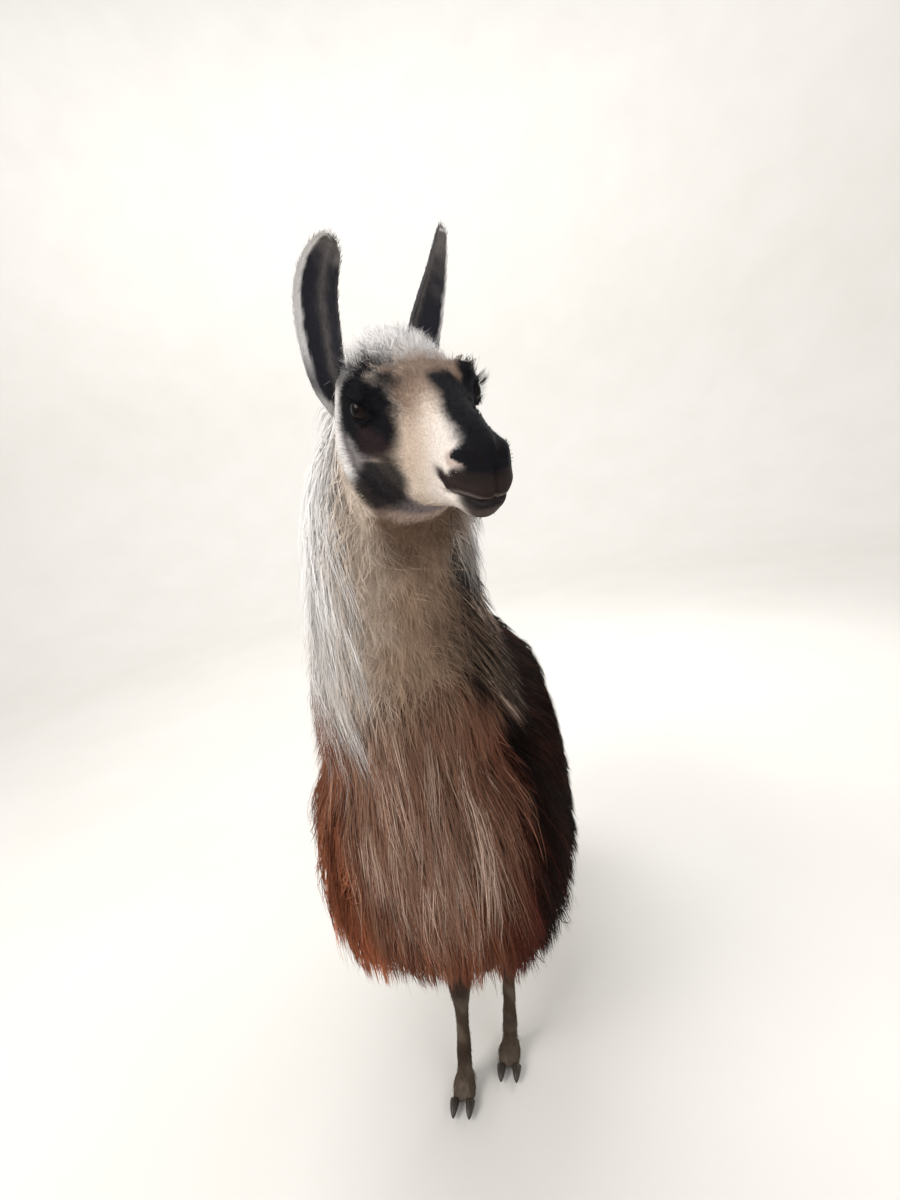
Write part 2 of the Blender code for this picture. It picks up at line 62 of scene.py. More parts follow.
# ---- Small tools
def unit(vectors):
    """Vectors drawn out or in to a length of 1."""
    return vectors / np.maximum(np.linalg.norm(vectors, axis=-1, keepdims=True), 1e-9)


def ramp(values, low, high):
    """0 at low, 1 at high, with a smooth S between them."""
    share = np.clip((values - low) / (high - low), 0.0, 1.0)
    return share * share * (3.0 - 2.0 * share)


def fall(values, low, high):
    """1 at low and 0 at high: the ramp upside down."""
    return 1.0 - ramp(values, low, high)


def band(values, rise, drop):
    """A ramp up over the two values of rise, then down over the two of drop."""
    return ramp(values, *rise) * fall(values, *drop)


def bell(values, middle, width):
    """1 at the middle, falling off to both sides as e to the power -(distance / width) squared."""
    return np.exp(-(((values - middle) / width) ** 2))


def blob(points, middle, reach, soft=0.35):
    """1 inside an ellipsoid and 0 outside, softened over this share of its reach."""
    return fall(np.linalg.norm((points - middle) / np.array(reach), axis=-1), 1.0 - soft, 1.0 + soft)


def rows(*columns):
    """Columns side by side as rows; a column may also be one number."""
    return np.stack(np.broadcast_arrays(*columns), -1)


def circle(count):
    """This many even steps round a circle, in radians."""
    return np.linspace(0, 2 * np.pi, count, endpoint=False)


def ripple(points, size, seed):
    """A soft random field from -1 to 1: the mean of sine waves of about this size in random directions."""
    draw = np.random.default_rng(seed)
    total = np.zeros(len(points))
    for _ in range(7):
        way = unit(draw.normal(size=3)) * draw.uniform(0.6, 1.5)
        total += np.sin(points @ way * (2 * np.pi / size) + draw.uniform(0, 2 * np.pi))
    return total / 3.0


def linear(code):
    """The linear colour of an sRGB hex value."""
    parts = np.array([int(code[i : i + 2], 16) for i in (1, 3, 5)]) / 255.0
    return np.where(parts <= 0.04045, parts / 12.92, ((parts + 0.055) / 1.055) ** 2.4)


def mixed(below, *layers):
    """Colours laid one over another: each layer is a colour and its share, for each point or for all."""
    for above, share in layers:
        below = below + (above - below) * np.clip(share, 0.0, 1.0)[..., None]
    return below


def placed(name, data):
    """A new object with this mesh, camera or lamp, in the scene."""
    made = bpy.data.objects.new(name, data)
    bpy.context.scene.collection.objects.link(made)
    return made


# ---- The head's frame: ahead along the nose, to the animal's left, up through the crown
def centre_of(node):
    """The middle of a solid's box."""
    low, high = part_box(node)
    return np.array((low + high) / 2)


def head_axes():
    """Unit vectors ahead, left and up of the head, turned by its yaw, then its pitch, then its roll."""
    yaw = Matrix.Rotation(np.radians(HEAD_YAW), 3, "Z")
    pitch = Matrix.Rotation(np.radians(HEAD_PITCH), 3, "X")
    turn = np.array(yaw @ pitch @ Matrix.Rotation(np.radians(-HEAD_ROLL), 3, "Y"))
    return np.stack([-turn[:, 1], turn[:, 0], turn[:, 2]])


HEAD_AXES = head_axes()
EYES = (centre_of("eye_right") + centre_of("eye_left")) / 2
EYE_RADIUS = float(max(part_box("eye_left")[1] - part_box("eye_left")[0])) / 2


def to_head(points):
    """Places of the animal in the head's frame: ahead, left and up of the middle between the eyes."""
    return (points - EYES) @ HEAD_AXES.T


def from_head(places):
    """Places of the head's frame in the animal's."""
    return EYES + np.asarray(places, float) @ HEAD_AXES


# ---- The neck's frame
NECK_FOOT = EYES + np.array([-0.197, 0.335, -0.556])  # middle of the neck where it meets the chest
NECK_TOP = EYES + np.array([-0.069, 0.093, 0.014])  # middle of the neck behind the ears
NECK_TURN = (4.0, 33.0)  # degrees that the neck's front is turned left at its foot and top


def round_neck(points):
    """Share of the way up the neck, and the angle round it in degrees: 0 in front, 90 on its left."""
    share = (points[:, 2] - NECK_FOOT[2]) / (NECK_TOP[2] - NECK_FOOT[2])
    bow = np.clip(share, 0, 1)
    # The neck bows: it leans forwards low down and stands nearly upright below the head.
    middle = NECK_FOOT + (NECK_TOP - NECK_FOOT) * rows(bow, 1 - (1 - bow) ** 1.6, bow)
    yaw = np.radians(NECK_TURN[0] + (NECK_TURN[1] - NECK_TURN[0]) * bow)
    away = points - middle
    ahead = away[:, 0] * np.sin(yaw) - away[:, 1] * np.cos(yaw)
    left = away[:, 0] * np.cos(yaw) + away[:, 1] * np.sin(yaw)
    return share, np.degrees(np.arctan2(left, ahead))


# ---- Which part of the body a point of the skin belongs to, as shares from 0 to 1
LEG_TOP = float(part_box("leg_fore_left")[1].z)
CHEST_FRONT = float(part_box("trunk")[0].y)
CHEST_HUB = CHEST_FRONT + 0.27  # angles round the chest are measured from here
SPINE = -0.012  # how far to the side the spine's parting runs
TRUNK_BACK = float(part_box("trunk")[1].y)
RIM_SLOPE = np.radians(43.5)  # the cheek's rim runs from behind the ears down to the throat at this slope
RIM_BACK = 0.068  # and passes this far behind the eyes


def before_rim(q):
    """How far a place in the head's frame lies in front of the rim that parts the head from the neck."""
    return q[:, 0] * np.cos(RIM_SLOPE) + q[:, 2] * np.sin(RIM_SLOPE) + RIM_BACK


def crown_share(points):
    """1 on the woolly top of the head."""
    q = to_head(points)
    return ramp(q[:, 2], 0.012, 0.034) * band(q[:, 0], (-0.19, -0.15), (-0.030, 0.002))


def leg_share(points):
    """1 on the short-haired legs."""
    return fall(points[:, 2], LEG_TOP - 0.05, LEG_TOP + 0.10)


# ---- Markings
WOOL_WHITE = linear("#E0DBD7")
SMOKE = linear("#AFA59D")
CREAM = linear("#C9B8A8")
FAWN = linear("#A68C76")
TAUPE = linear("#7D6656")
ROSE_TAUPE = linear("#856452")
RUSSET = linear("#6F432F")
CHESTNUT = linear("#8A5036")
MAROON = linear("#441A0F")
BAY = linear("#150A07")
SOOT = linear("#0F0E12")
EAR_SOOT = linear("#2A292E")
EAR_GREY = linear("#77706C")
LIP_BROWN = linear("#231D1C")
LILAC_GREY = linear("#7D7577")
EYE_BROWN = linear("#3A2A2A")
LIP_GLOW = linear("#3E2E2A")
# painted shade inside the slits of the mouth and the nostrils
SLIT_SHADE = linear("#120E0F")
CHIN_GREY = linear("#4A403D")
LIP_EDGE = linear("#8C7E78")
NOSE_PINK = linear("#9A7E74")
# the throat's brown wool, darkened in part as painted shade under the jaw
THROAT_BROWN = linear("#4A3529")
BLOND = linear("#C9AE9C")
SILVER = linear("#DEDBD8")
# the legs' grey-browns, darkened in part as painted shade from the body above
SHANK = linear("#40342A")
SHANK_PALE = linear("#5F5348")
SHANK_DARK = linear("#2A221D")
JAW_PINK = linear("#A48C80")
FLANK_BROWN = linear("#47291C")  # the warmer locks among the bay
IRIS_DARK = linear("#0E0705")
IRIS_BROWN = linear("#180D09")
EYE_WHITE = linear("#15100F")
PUPIL_BLACK = linear("#050405")
LASH_BLACK = linear("#141214")
HORN_DARK = linear("#1B1613")
HORN_PALE = linear("#40372F")
FLOOR_GREY = linear("#CFCBC4")
FLOOR_PALE = linear("#D8D4CE")


def body_colour(points):
    """Dark bay back and flanks, a russet chest with rose-taupe hair over it, and chestnut at its right."""
    x, y, z = points.T
    wave = ripple(points, 0.16, 3) * 0.03 + ripple(points, 0.05, 4) * 0.012
    turn = np.degrees(np.arctan2(x, CHEST_HUB - y)) + wave * 200
    shawl = ramp(z + wave * 2 - 0.35 * np.abs(x - 0.03), 0.62, 0.88)
    shawl = shawl * (1 - (0.85 - 0.5 * ramp(z, 0.82, 0.98)) * ramp(x + wave, 0.07, 0.13))
    shawl = shawl * (1 - 0.85 * ramp(-x + wave, 0.04, 0.11))
    chest = mixed(
        RUSSET,
        (MAROON, ramp(x + wave, 0.08, 0.15) * fall(z, 0.98, 1.06)),
        (CHESTNUT, fall(x + wave, -0.15, -0.08) * fall(z, 0.86, 0.96)),
        (ROSE_TAUPE, shawl * 0.8),
    )
    flank = mixed(BAY, (CHESTNUT, fall(z + wave, 0.52, 0.64) * 0.12))
    return mixed(flank, (chest, band(turn, (-142, -88), (50, 60))))


def neck_colour(points):
    """White at the sides and back, cream to taupe in front, and dark bay low on the left side."""
    share, turn = round_neck(points)
    wave = ripple(points, 0.11, 5) * 9 + ripple(points, 0.03, 6) * 5
    turn = turn + wave
    back = np.abs(turn)
    front = band(turn, (-72, -42), (52, 72))
    mottle = ramp(ripple(points, 0.045, 7), -0.2, 0.7) * ramp(turn, -45, 10)
    low_left = fall(share + wave * 0.004, 0.60, 0.80) * ramp(turn, 40, 58)
    low_back = fall(share + wave * 0.008 - 0.10 * ramp(turn, 100, 150), 0.12, 0.42) * ramp(back, 86, 112)
    return mixed(
        WOOL_WHITE,
        (SMOKE, fall(share, 0.45, 0.95) * 0.55),
        (CREAM, front),
        (FAWN, band(turn, (-38, 4), (40, 62))),
        (TAUPE, mottle * front * 0.6),
        (THROAT_BROWN, ramp(turn, 18, 44) * fall(share, 0.45, 0.68) * 0.6),
        # under the jaw: brown wool with painted shade from the jaw in it
        (THROAT_BROWN, ramp(share, 0.56, 0.72) * fall(np.abs(turn - 14), 22, 50) * 0.75),
        (BAY, np.maximum(low_left, low_back * ramp(back, 96, 140)) * 0.95),
    )


def patch(a, up, middle, half, turn, soft=0.16):
    """1 inside an ellipse on the side of the head, its long axis turned down towards the nose by degrees."""
    cos, sin = np.cos(np.radians(turn)), np.sin(np.radians(turn))
    along = (a - middle[0]) * cos - (up - middle[1]) * sin
    over = (a - middle[0]) * sin + (up - middle[1]) * cos
    far = ((np.abs(along) / half[0]) ** 2.3 + (np.abs(over) / half[1]) ** 2.3) ** (1 / 2.3)
    return fall(far, 1.0 - soft, 1.0 + soft)


def nose_edge(left, up):
    """How far ahead the dark nose begins: at the nostrils, and further forward in the pale strip below."""
    return 0.158 + 0.021 * ramp(-up, 0.001, 0.008) * ramp(-left, 0.008, 0.018)


def lip_crease(a):
    """The height of the crease where the pale cheek ends and the dark upper lip begins."""
    return -0.024 + 0.014 * ramp(a, 0.145, 0.182)


def head_colour(points):
    """White crown and jaw rims, a cream blaze, and soot patches round the eyes, cheek and muzzle."""
    q = to_head(points)
    fine = ripple(points, 0.030, 8) * 0.0020 + ripple(points, 0.011, 9) * 0.0007
    a, left, up = (q + fine[:, None]).T
    right = fall(left, -0.012, 0.0)
    between_eyes = patch(a, up, (0.030, 0.026), (0.050, 0.022), 20, 0.6) * ramp(left, -0.050, -0.036)
    rim = before_rim(q)
    low = fall(up, -0.036, -0.016)
    edge = fall(rim, 0.018, 0.034) * low
    # the llama's right: a patch round the eye and another on the jaw, with a thin pale line between
    eye_patch = patch(a, up, (-0.006, -0.003), (0.067, 0.045), 23, 0.22) * fall(up, 0.032, 0.041)
    jaw_patch = patch(a, up, (0.026, -0.076), (0.047, 0.032), -62, 0.30)
    between = bell(up - 0.28 * a, -0.0585, 0.0026) * fall(a, 0.015, 0.045)
    dark_right = np.maximum(eye_patch * (1 - 0.55 * between), jaw_patch * 0.93 * (1 - 0.5 * between))
    ear_foot = blob(q, (-0.078, -0.066, 0.024), (0.028, 0.020, 0.026), 0.4)
    wisps = blob(q, (-0.050, -0.048, 0.046), (0.024, 0.020, 0.014), 0.5)
    wisps = wisps * ramp(ripple(q * (1, 3.2, 2.0), 0.03, 14), -0.35, 0.25)
    # the llama's left: one patch from the eye down the side of the nose
    border = -0.001 - 0.018 * np.clip((a - 0.044) / 0.075, 0, 1)
    nose_side = ramp(left - border, -0.009, 0.008) * ramp(a + 0.3 * left, 0.015, 0.041)
    nose_side = nose_side * ramp(up + 0.012 * ramp(a, 0.10, 0.15), -0.052, -0.040)
    left_eye = patch(a, up, (0.010, -0.004), (0.062, 0.044), 20) * fall(up, 0.024, 0.033)
    brow = blob(q, (0.016, 0.060, 0.030), (0.026, 0.016, 0.012))
    gap = blob(q, (0.012, 0.040, 0.034), (0.028, 0.007, 0.011), 0.5)
    dark_left = np.maximum(nose_side, left_eye * ramp(left, 0.020, 0.030)) * (1 - 0.8 * gap)
    on_jaw = jaw_patch * 0.93 * ramp(left, 0.0, 0.012)
    black = np.maximum.reduce([dark_right * right, dark_left, brow, on_jaw, ear_foot * 0.8, wisps * 0.75])
    # the muzzle: dark nose, brown upper lip, grey chin, and painted shade in the line where the lips meet and
    # in the nostrils' slits
    nose = nose_edge(left, up)
    lip = ramp(a, 0.114, 0.134) * fall(up - lip_crease(a), -0.005, 0.003)
    over = up - mouth_height(a)
    wedge = 0.015 * fall(a, 0.126, 0.164) * (left < 0)
    upper_lip = lip * ramp(over, 0.8 * wedge - 0.001, wedge + 0.001)
    chin = lip * fall(over, -0.001, 0.001) * ramp(a, 0.146, 0.176)
    return mixed(
        WOOL_WHITE,
        (CREAM, ramp(a, -0.034, 0.006) * (1 - 0.5 * ramp(a, 0.075, 0.13))),
        (FAWN, patch(a, up, (0.060, -0.020), (0.060, 0.030), 10, 0.5) * 0.35),
        (TAUPE, between_eyes * 0.9),
        (WOOL_WHITE, edge * fall(a, -0.012, 0.012)),
        (JAW_PINK, edge * ramp(a, -0.012, 0.012) * 0.85),
        (LILAC_GREY, low * band(rim, (0.004, 0.013), (0.038, 0.052)) * 0.85),
        # painted shadow: a thin dark line just in front of the jaw's pale rim, as if the rim shaded the cheek
        (SHANK_DARK, bell(rim, 0.014 + fine, 0.0035) * low * ramp(up, -0.12, -0.09) * 0.55),
        (SOOT, black),
        (EYE_BROWN, patch(a, up, (0.018, -0.034), (0.026, 0.016), 15, 0.5) * 0.40 * right),
        (NOSE_PINK, blob(q, (0.165, -0.027, -0.007), (0.022, 0.016, 0.008), 0.4) * 0.60),
        (SOOT, ramp(a, nose - 0.007, nose + 0.006)),
        (LIP_BROWN, upper_lip),
        (LIP_GLOW, upper_lip * bell(up, -0.027, 0.006) * 0.25),
        (CHIN_GREY, chin * (1 - 0.6 * ramp(-up, 0.060, 0.085))),
        # the dark lower lip: dark skin of its own, darkened further by painted shade under the upper lip
        (SOOT, bell(over, -0.006, 0.005) * ramp(a, 0.150, 0.175) * 0.85),
        (LIP_EDGE, bell(over, 0.0046, 0.0022) * ramp(a, 0.140, 0.160) * 0.4),
        # painted shade in the slit between the lips and in the nostrils
        (SLIT_SHADE, np.maximum(bell(over, 0, 0.0016) * ramp(a, 0.128, 0.140) * 0.9, nostril_share(points))),
    )


def leg_colour(points):
    """Mottled grey-brown, dark at the knees and fetlocks, paler at the feet and bay at the top, all a little
    darkened as painted shade from the body above.
    """
    z = points[:, 2]
    return mixed(
        SHANK,
        (SHANK_PALE, ramp(ripple(points, 0.07, 10), 0.1, 0.8) * 0.6),
        (SHANK_DARK, (bell(z, 0.34, 0.05) + 0.8 * bell(z, 0.125, 0.025)) * 0.75),
        (SHANK_PALE, fall(z, 0.03, 0.10) * 0.5),
        (BAY, ramp(z, 0.36, 0.46) * 0.6),
    )


def markings(points):
    """The colour of the animal at each point."""
    share, turn = round_neck(points)
    edge = share + ripple(points, 0.06, 11) * 0.03 - 0.15 * ramp(-turn, 40, 75)
    return mixed(
        body_colour(points),
        (leg_colour(points), fall(points[:, 2], LEG_TOP - 0.04, LEG_TOP + 0.06)),
        (neck_colour(points), ramp(edge, 0.16, 0.30)),
        (head_colour(points), ramp(before_rim(to_head(points)), -0.003, 0.003)),
    )


# ---- The skin
FLESH = [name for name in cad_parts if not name.startswith(("eye_", "nail_", "ear_"))]
EARS = ["ear_right", "ear_left"]


def joined_nodes(names, voxel):
    """The named solids as one closed surface on an even grid: points and four-sided faces."""
    work = bmesh.new()
    for name in names:
        work.from_mesh(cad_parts[name].data)
    bmesh.ops.remove_doubles(work, verts=work.verts, dist=MERGE)
    mesh = bpy.data.meshes.new("flesh")
    work.to_mesh(mesh)
    work.free()
    flesh = placed("flesh", mesh)
    join = flesh.modifiers.new("join", "REMESH")
    join.mode = "VOXEL"
    join.voxel_size = voxel
    graph = bpy.context.evaluated_depsgraph_get()
    made = bpy.data.meshes.new_from_object(flesh.evaluated_get(graph))
    bpy.data.objects.remove(flesh)
    bpy.data.meshes.remove(mesh)
    return made


def finer_head(mesh):
    """Cuts the faces of the head into a finer grid."""
    work = bmesh.new()
    work.from_mesh(mesh)
    middles = np.array([face.calc_center_median() for face in work.faces])
    q = to_head(middles)
    fine = (q[:, 0] > -0.125) & (q[:, 2] > -0.155)
    edges = {edge for face, inside in zip(work.faces, fine) if inside for edge in face.edges}
    bmesh.ops.subdivide_edges(work, edges=list(edges), cuts=HEAD_CUTS, use_grid_fill=True)
    bmesh.ops.triangulate(work, faces=work.faces)
    work.to_mesh(mesh)
    work.free()


def mesh_points(mesh):
    """The points of a mesh as rows."""
    points = np.empty(len(mesh.vertices) * 3, np.float32)
    mesh.vertices.foreach_get("co", points)
    return points.reshape(-1, 3).astype(float)


def mesh_triangles(mesh):
    """The triangles of a mesh as rows of three point numbers."""
    mesh.calc_loop_triangles()
    corners = np.empty(len(mesh.loop_triangles) * 3, np.int32)
    mesh.loop_triangles.foreach_get("vertices", corners)
    return corners.reshape(-1, 3)


def corner_sums(triangles, values, count):
    """Adds a value of each triangle to its three corners."""
    total = np.empty((count, values.shape[1]))
    for axis in range(values.shape[1]):
        total[:, axis] = sum(np.bincount(triangles[:, i], values[:, axis], count) for i in range(3))
    return total


def normals_of(points, triangles):
    """The outward direction at each point: the mean of its faces' directions, weighted by their area."""
    a, b, c = (points[triangles[:, i]] for i in range(3))
    return unit(corner_sums(triangles, np.cross(b - a, c - a), len(points)))


def relaxed(points, triangles, rounds, share):
    """Moves each point towards the mean of its neighbours, by a share for each point, a few times over."""
    count = np.maximum(corner_sums(triangles, np.full((len(triangles), 1), 3.0), len(points)), 1)
    for _ in range(rounds):
        around = points[triangles].sum(1)
        mean = corner_sums(triangles, around, len(points)) / count
        points = points + (mean - points) * share[:, None]
    return points


# How deep the coat is, in metres; the crown's wool is added to the depth of the face's hair.
TRUNK_DEPTH, NECK_TOP_LESS, LEG_DEPTH, FACE_DEPTH, CROWN_MORE = 0.042, 0.012, 0.0045, 0.0030, 0.012


def coat_depth(points):
    """How far the skin lies under the solids, in metres: deep on trunk and neck, thin on legs and face."""
    depth = TRUNK_DEPTH - NECK_TOP_LESS * ramp(round_neck(points)[0], 0.3, 0.9)
    depth = depth + (LEG_DEPTH - depth) * leg_share(points)
    on_head = ramp(before_rim(to_head(points)), -0.030, 0.004)
    return depth + (FACE_DEPTH + CROWN_MORE * crown_share(points) - depth) * on_head


def push(points, q, middle, reach, amount):
    """Moves points by amount, a step in the head's frame, in a soft bell round a place on it."""
    far = ((q - middle) / reach) ** 2
    points += np.exp(-far.sum(1))[:, None] * (amount @ HEAD_AXES)


def nostril_at(step):
    """Ahead, outwards and up for a place along the nostril's slit, from its front at 0 to its back at 1."""
    return 0.182 - 0.024 * step, 0.0125 + 0.0135 * step, -0.003 + 0.013 * np.sin(step * np.pi * 0.62)


def nostril_share(points):
    """1 in the nostrils' slits, 0 away from them."""
    q = to_head(points)
    nearest = np.full(len(points), 1.0)
    for step in np.linspace(0, 1, 9):
        ahead, out, high = nostril_at(step)
        for way in (-1, 1):
            gap = np.linalg.norm((q - (ahead, way * out, high)) / (1, 1, 0.7), axis=1)
            nearest = np.minimum(nearest, gap)
    return fall(nearest, 0.0028, 0.0048)


def mouth_height(a):
    """How high the closed lips meet, for a place ahead in the head's frame."""
    return -0.0415 - 0.010 * ramp(-a, -0.180, -0.120)


# The place, reach and push of each soft form of the face: ahead, outwards and up in the head's frame.
FACE_FORMS = (
    ((0.060, 0.050, -0.020), (0.030, 0.030, 0.018), (0, -0.0035, 0)),  # hollow in front of the eye
    ((0.020, 0.070, -0.022), (0.030, 0.030, 0.007), (0, 0.0030, 0)),  # ridge of the cheekbone
    ((-0.010, 0.070, -0.062), (0.040, 0.030, 0.022), (0, 0.0030, 0)),  # muscle of the jaw
    ((0.070, 0.045, -0.062), (0.026, 0.020, 0.020), (0, -0.0040, 0)),  # hollow behind the lips
    ((0.006, 0.062, 0.030), (0.030, 0.024, 0.010), (0, 0.0020, 0.0035)),  # brow
    ((0.168, 0.024, 0.006), (0.018, 0.014, 0.014), (0.001, 0.0030, 0.002)),  # wing of the nostril
)
NOSTRIL_REACH, NOSTRIL_PUSH = (0.0062, 0.0080, 0.0032), (-0.0026, -0.0026, -0.0006)


def carve_head(points):
    """Nostrils, lips, cheeks, brows and the hollows of the face, pushed into the skin by soft bells."""
    for way in (-1, 1):
        mirror = np.array([1, way, 1])
        q = to_head(points)
        for place, reach, amount in FACE_FORMS:
            push(points, q, place * mirror, reach, amount * mirror)
        # the slit of the nostril curls down and back in front of its wing
        q = to_head(points)
        for step in np.linspace(0, 1, 7):
            push(points, q, nostril_at(step) * mirror, NOSTRIL_REACH, NOSTRIL_PUSH * mirror)
    # the lips meet in a groove that runs back from the nose, and the upper lip is split in front
    a, left, up = to_head(points).T
    over = up - mouth_height(a)
    inwards = unit(rows(-(a - 0.12) * 1.2, -left, 0)) @ HEAD_AXES
    groove = bell(over, 0, 0.0026) * ramp(a, 0.118, 0.138)
    upper = bell(over, 0.0095, 0.0075) * ramp(a, 0.125, 0.150)
    lower = bell(over, -0.0085, 0.0065) * ramp(a, 0.125, 0.150)
    split = bell(left, 0, 0.0018) * ramp(a, 0.175, 0.188)
    split *= band(up, (-0.043, -0.038), (-0.012, -0.004))
    points += (groove * 0.0055)[:, None] * inwards
    points -= (upper * 0.0028 + lower * 0.0018)[:, None] * inwards
    points += (split * 0.0040)[:, None] * inwards
    return points


def eye_frame(way):
    """Middle of an eye, and unit vectors outwards, forwards and upwards across it."""
    middle = centre_of("eye_left" if way > 0 else "eye_right")
    out = unit(np.array([0.34, way * 0.93, 0.14]) @ HEAD_AXES)
    up = unit(HEAD_AXES[2] - out * (HEAD_AXES[2] @ out))
    return middle, out, np.cross(out, up) * way, up


LID_HALF = (np.radians(56.0), np.radians(24.0))  # half the opening between the lids, along and across
LID_TILT = np.radians(-10.0)  # the front corner of the eye is the lower
LID_OVER = 0.0005  # the lids' edge lies this far over the eyeball
LID_THICK = 0.0030  # how much further out the lid is just behind its edge
BEHIND_EYE = 0.80  # radii of the eyeball at which the skin passes behind it
LID_FROM, LID_TO = np.radians(58), np.radians(88)  # angles at which the lids run out into the face


def around_eye(points, way):
    """Where points lie round an eye.

    Returns the eye's middle, the way from it to each point, the distance, the angle from the eye's axis
    and that angle as a share of half the opening between the lids.
    """
    middle, out, ahead, up = eye_frame(way)
    away = points - middle
    far = np.linalg.norm(away, axis=1)
    side = unit(away)
    angle = np.arccos(np.clip(side @ out, -1, 1))
    turn = np.arctan2(side @ up, side @ ahead) - LID_TILT
    return middle, side, far, angle, angle / lid_opening(turn)


def lid_opening(turn):
    """Half the angle of the opening in each direction: an almond, pointed at both corners."""
    flat = np.abs(np.cos(turn)) ** 1.5
    return LID_HALF[1] + (LID_HALF[0] - LID_HALF[1]) * flat


def open_eyes(points):
    """Lays the skin on each eyeball as lids, and tucks it behind the ball inside their opening."""
    for way in (-1, 1):
        middle, side, far, angle, share = around_eye(points, way)
        lid = EYE_RADIUS + LID_OVER + LID_THICK * ramp(share, 0.98, 1.2) - 0.0010 * ramp(angle, 0.9, 1.5)
        outside = np.maximum(lid, far * ramp(share, 0.9, 2.2))
        reach = np.where(share < 1.0, EYE_RADIUS * BEHIND_EYE, outside)
        far_new = far + (reach - far) * fall(angle, LID_FROM, LID_TO)
        points = np.where((angle < LID_TO)[:, None], middle + side * far_new[:, None], points)
    return points


def build_skin():
    """One closed skin over the whole animal, inside the solids by the depth of the coat."""
    mesh = joined_nodes(FLESH + ["eye_right", "eye_left"], SKIN_VOXEL)
    finer_head(mesh)
    points, triangles = mesh_points(mesh), mesh_triangles(mesh)
    everywhere = np.full(len(points), 0.5)
    points = relaxed(points, triangles, SMOOTH_FIRST, everywhere)
    outer = points.copy()
    points -= normals_of(points, triangles) * coat_depth(points)[:, None]
    points = relaxed(points, triangles, SMOOTH_LAST, everywhere)
    points = carve_head(points)
    points = open_eyes(points)
    return outer, points, triangles


def paint(mesh, colours):
    """Gives each point of a mesh its colour, under the name that the materials read."""
    layer = mesh.attributes.new("coat", "FLOAT_COLOR", "POINT")
    whole = np.ones((len(colours), 4), np.float32)
    whole[:, :3] = colours
    layer.data.foreach_set("color", whole.ravel())


def mesh_from(name, points, triangles):
    """A smooth-shaded mesh object from arrays of points and triangles."""
    mesh = bpy.data.meshes.new(name)
    mesh.vertices.add(len(points))
    mesh.vertices.foreach_set("co", points.astype(np.float32).ravel())
    mesh.loops.add(len(triangles) * 3)
    mesh.loops.foreach_set("vertex_index", triangles.astype(np.int32).ravel())
    mesh.polygons.add(len(triangles))
    mesh.polygons.foreach_set("loop_start", np.arange(0, len(triangles) * 3, 3, dtype=np.int32))
    mesh.polygons.foreach_set("use_smooth", np.ones(len(triangles), bool))
    mesh.update(calc_edges=True)
    return placed(name, mesh)


def joined(surfaces):
    """Several surfaces as one: points, faces and colours end to end."""
    points, faces, colours = zip(*surfaces)
    starts = np.cumsum([0] + [len(part) for part in points])
    faces = [part + start for part, start in zip(faces, starts)]
    return np.concatenate(points), np.concatenate(faces), np.concatenate(colours)


# ---- Ears
EAR_START = np.array([-0.004, 0.0, -0.002])  # the tables below are measured from here, in the head's frame
# Ahead, outwards, up, half width, then the cup's turn outwards in degrees.
EAR_RIGHT = (
    (-0.088, 0.067, -0.034, 0.014, 12),
    (-0.100, 0.077, 0.010, 0.023, 14),
    (-0.118, 0.0765, 0.058, 0.0260, 14),
    (-0.128, 0.0715, 0.098, 0.0255, 12),
    (-0.132, 0.0610, 0.126, 0.0220, 8),
    (-0.134, 0.0485, 0.144, 0.0160, 4),
    (-0.134, 0.0410, 0.152, 0.0060, 2),
)
EAR_LEFT = (
    (-0.086, 0.039, -0.010, 0.029, 38),
    (-0.104, 0.048, 0.038, 0.0385, 37),
    (-0.114, 0.063, 0.072, 0.0325, 35),
    (-0.124, 0.079, 0.106, 0.0225, 33),
    (-0.130, 0.089, 0.132, 0.0140, 30),
    (-0.136, 0.096, 0.149, 0.0090, 26),
    (-0.138, 0.099, 0.156, 0.0035, 24),
)
EAR_CUP = 0.017  # depth of the ear's hollow
EAR_WALL = 0.0030  # half the thickness of its wall
EAR_LEVEL = 0.45  # where across the ear its cup crosses the middle line
EAR_GRID = (46, 48)  # rings along the ear and points round it
EAR_TUFTS = 3000  # on each ear
EAR_TUFT = 0.0056  # their length in the hollow and on the back
EAR_FRINGE = 0.0018  # how much longer they are on the rims
EAR_TUFT_WIDTH = 0.0010


def outward(points, triangles):
    """The same faces, turned so that they point out of the closed surface."""
    a, b, c = (points[triangles[:, i]] for i in range(3))
    volume = (np.cross(a, b) * c).sum()
    return triangles if volume > 0 else triangles[:, ::-1]


def through(stations, count):
    """This many rows on a Catmull-Rom curve through the stations' rows."""
    given = np.array(stations, float)
    ends = np.vstack([2 * given[0] - given[1], given, 2 * given[-1] - given[-2]])
    at = np.linspace(0, len(given) - 1, count)
    span = np.minimum(at.astype(int), len(given) - 2)
    t = (at - span)[:, None]
    a, b, c, d = (ends[span + i] for i in range(4))
    return 0.5 * (2 * b + (c - a) * t + (2 * a - 5 * b + 4 * c - d) * t**2 + (3 * b - a - 3 * c + d) * t**3)


def ring_walls(rings, sides):
    """The faces between rings of points: first each square's lower triangle, then each one's upper."""
    index = np.arange(rings * sides).reshape(rings, sides)
    a, b = index[:-1].ravel(), np.roll(index, -1, 1)[:-1].ravel()
    c, d = np.roll(index, -1, 1)[1:].ravel(), index[1:].ravel()
    return np.concatenate([rows(a, b, c), rows(a, c, d)]), index


def tube_triangles(rings, sides):
    """The faces of a closed tube of rings, with a fan at each end round its first point."""
    walls, index = ring_walls(rings, sides)
    low, high = index[0], index[-1]
    return np.concatenate([walls, rows(low[0], low[2:], low[1:-1]), rows(high[0], high[1:-1], high[2:])])


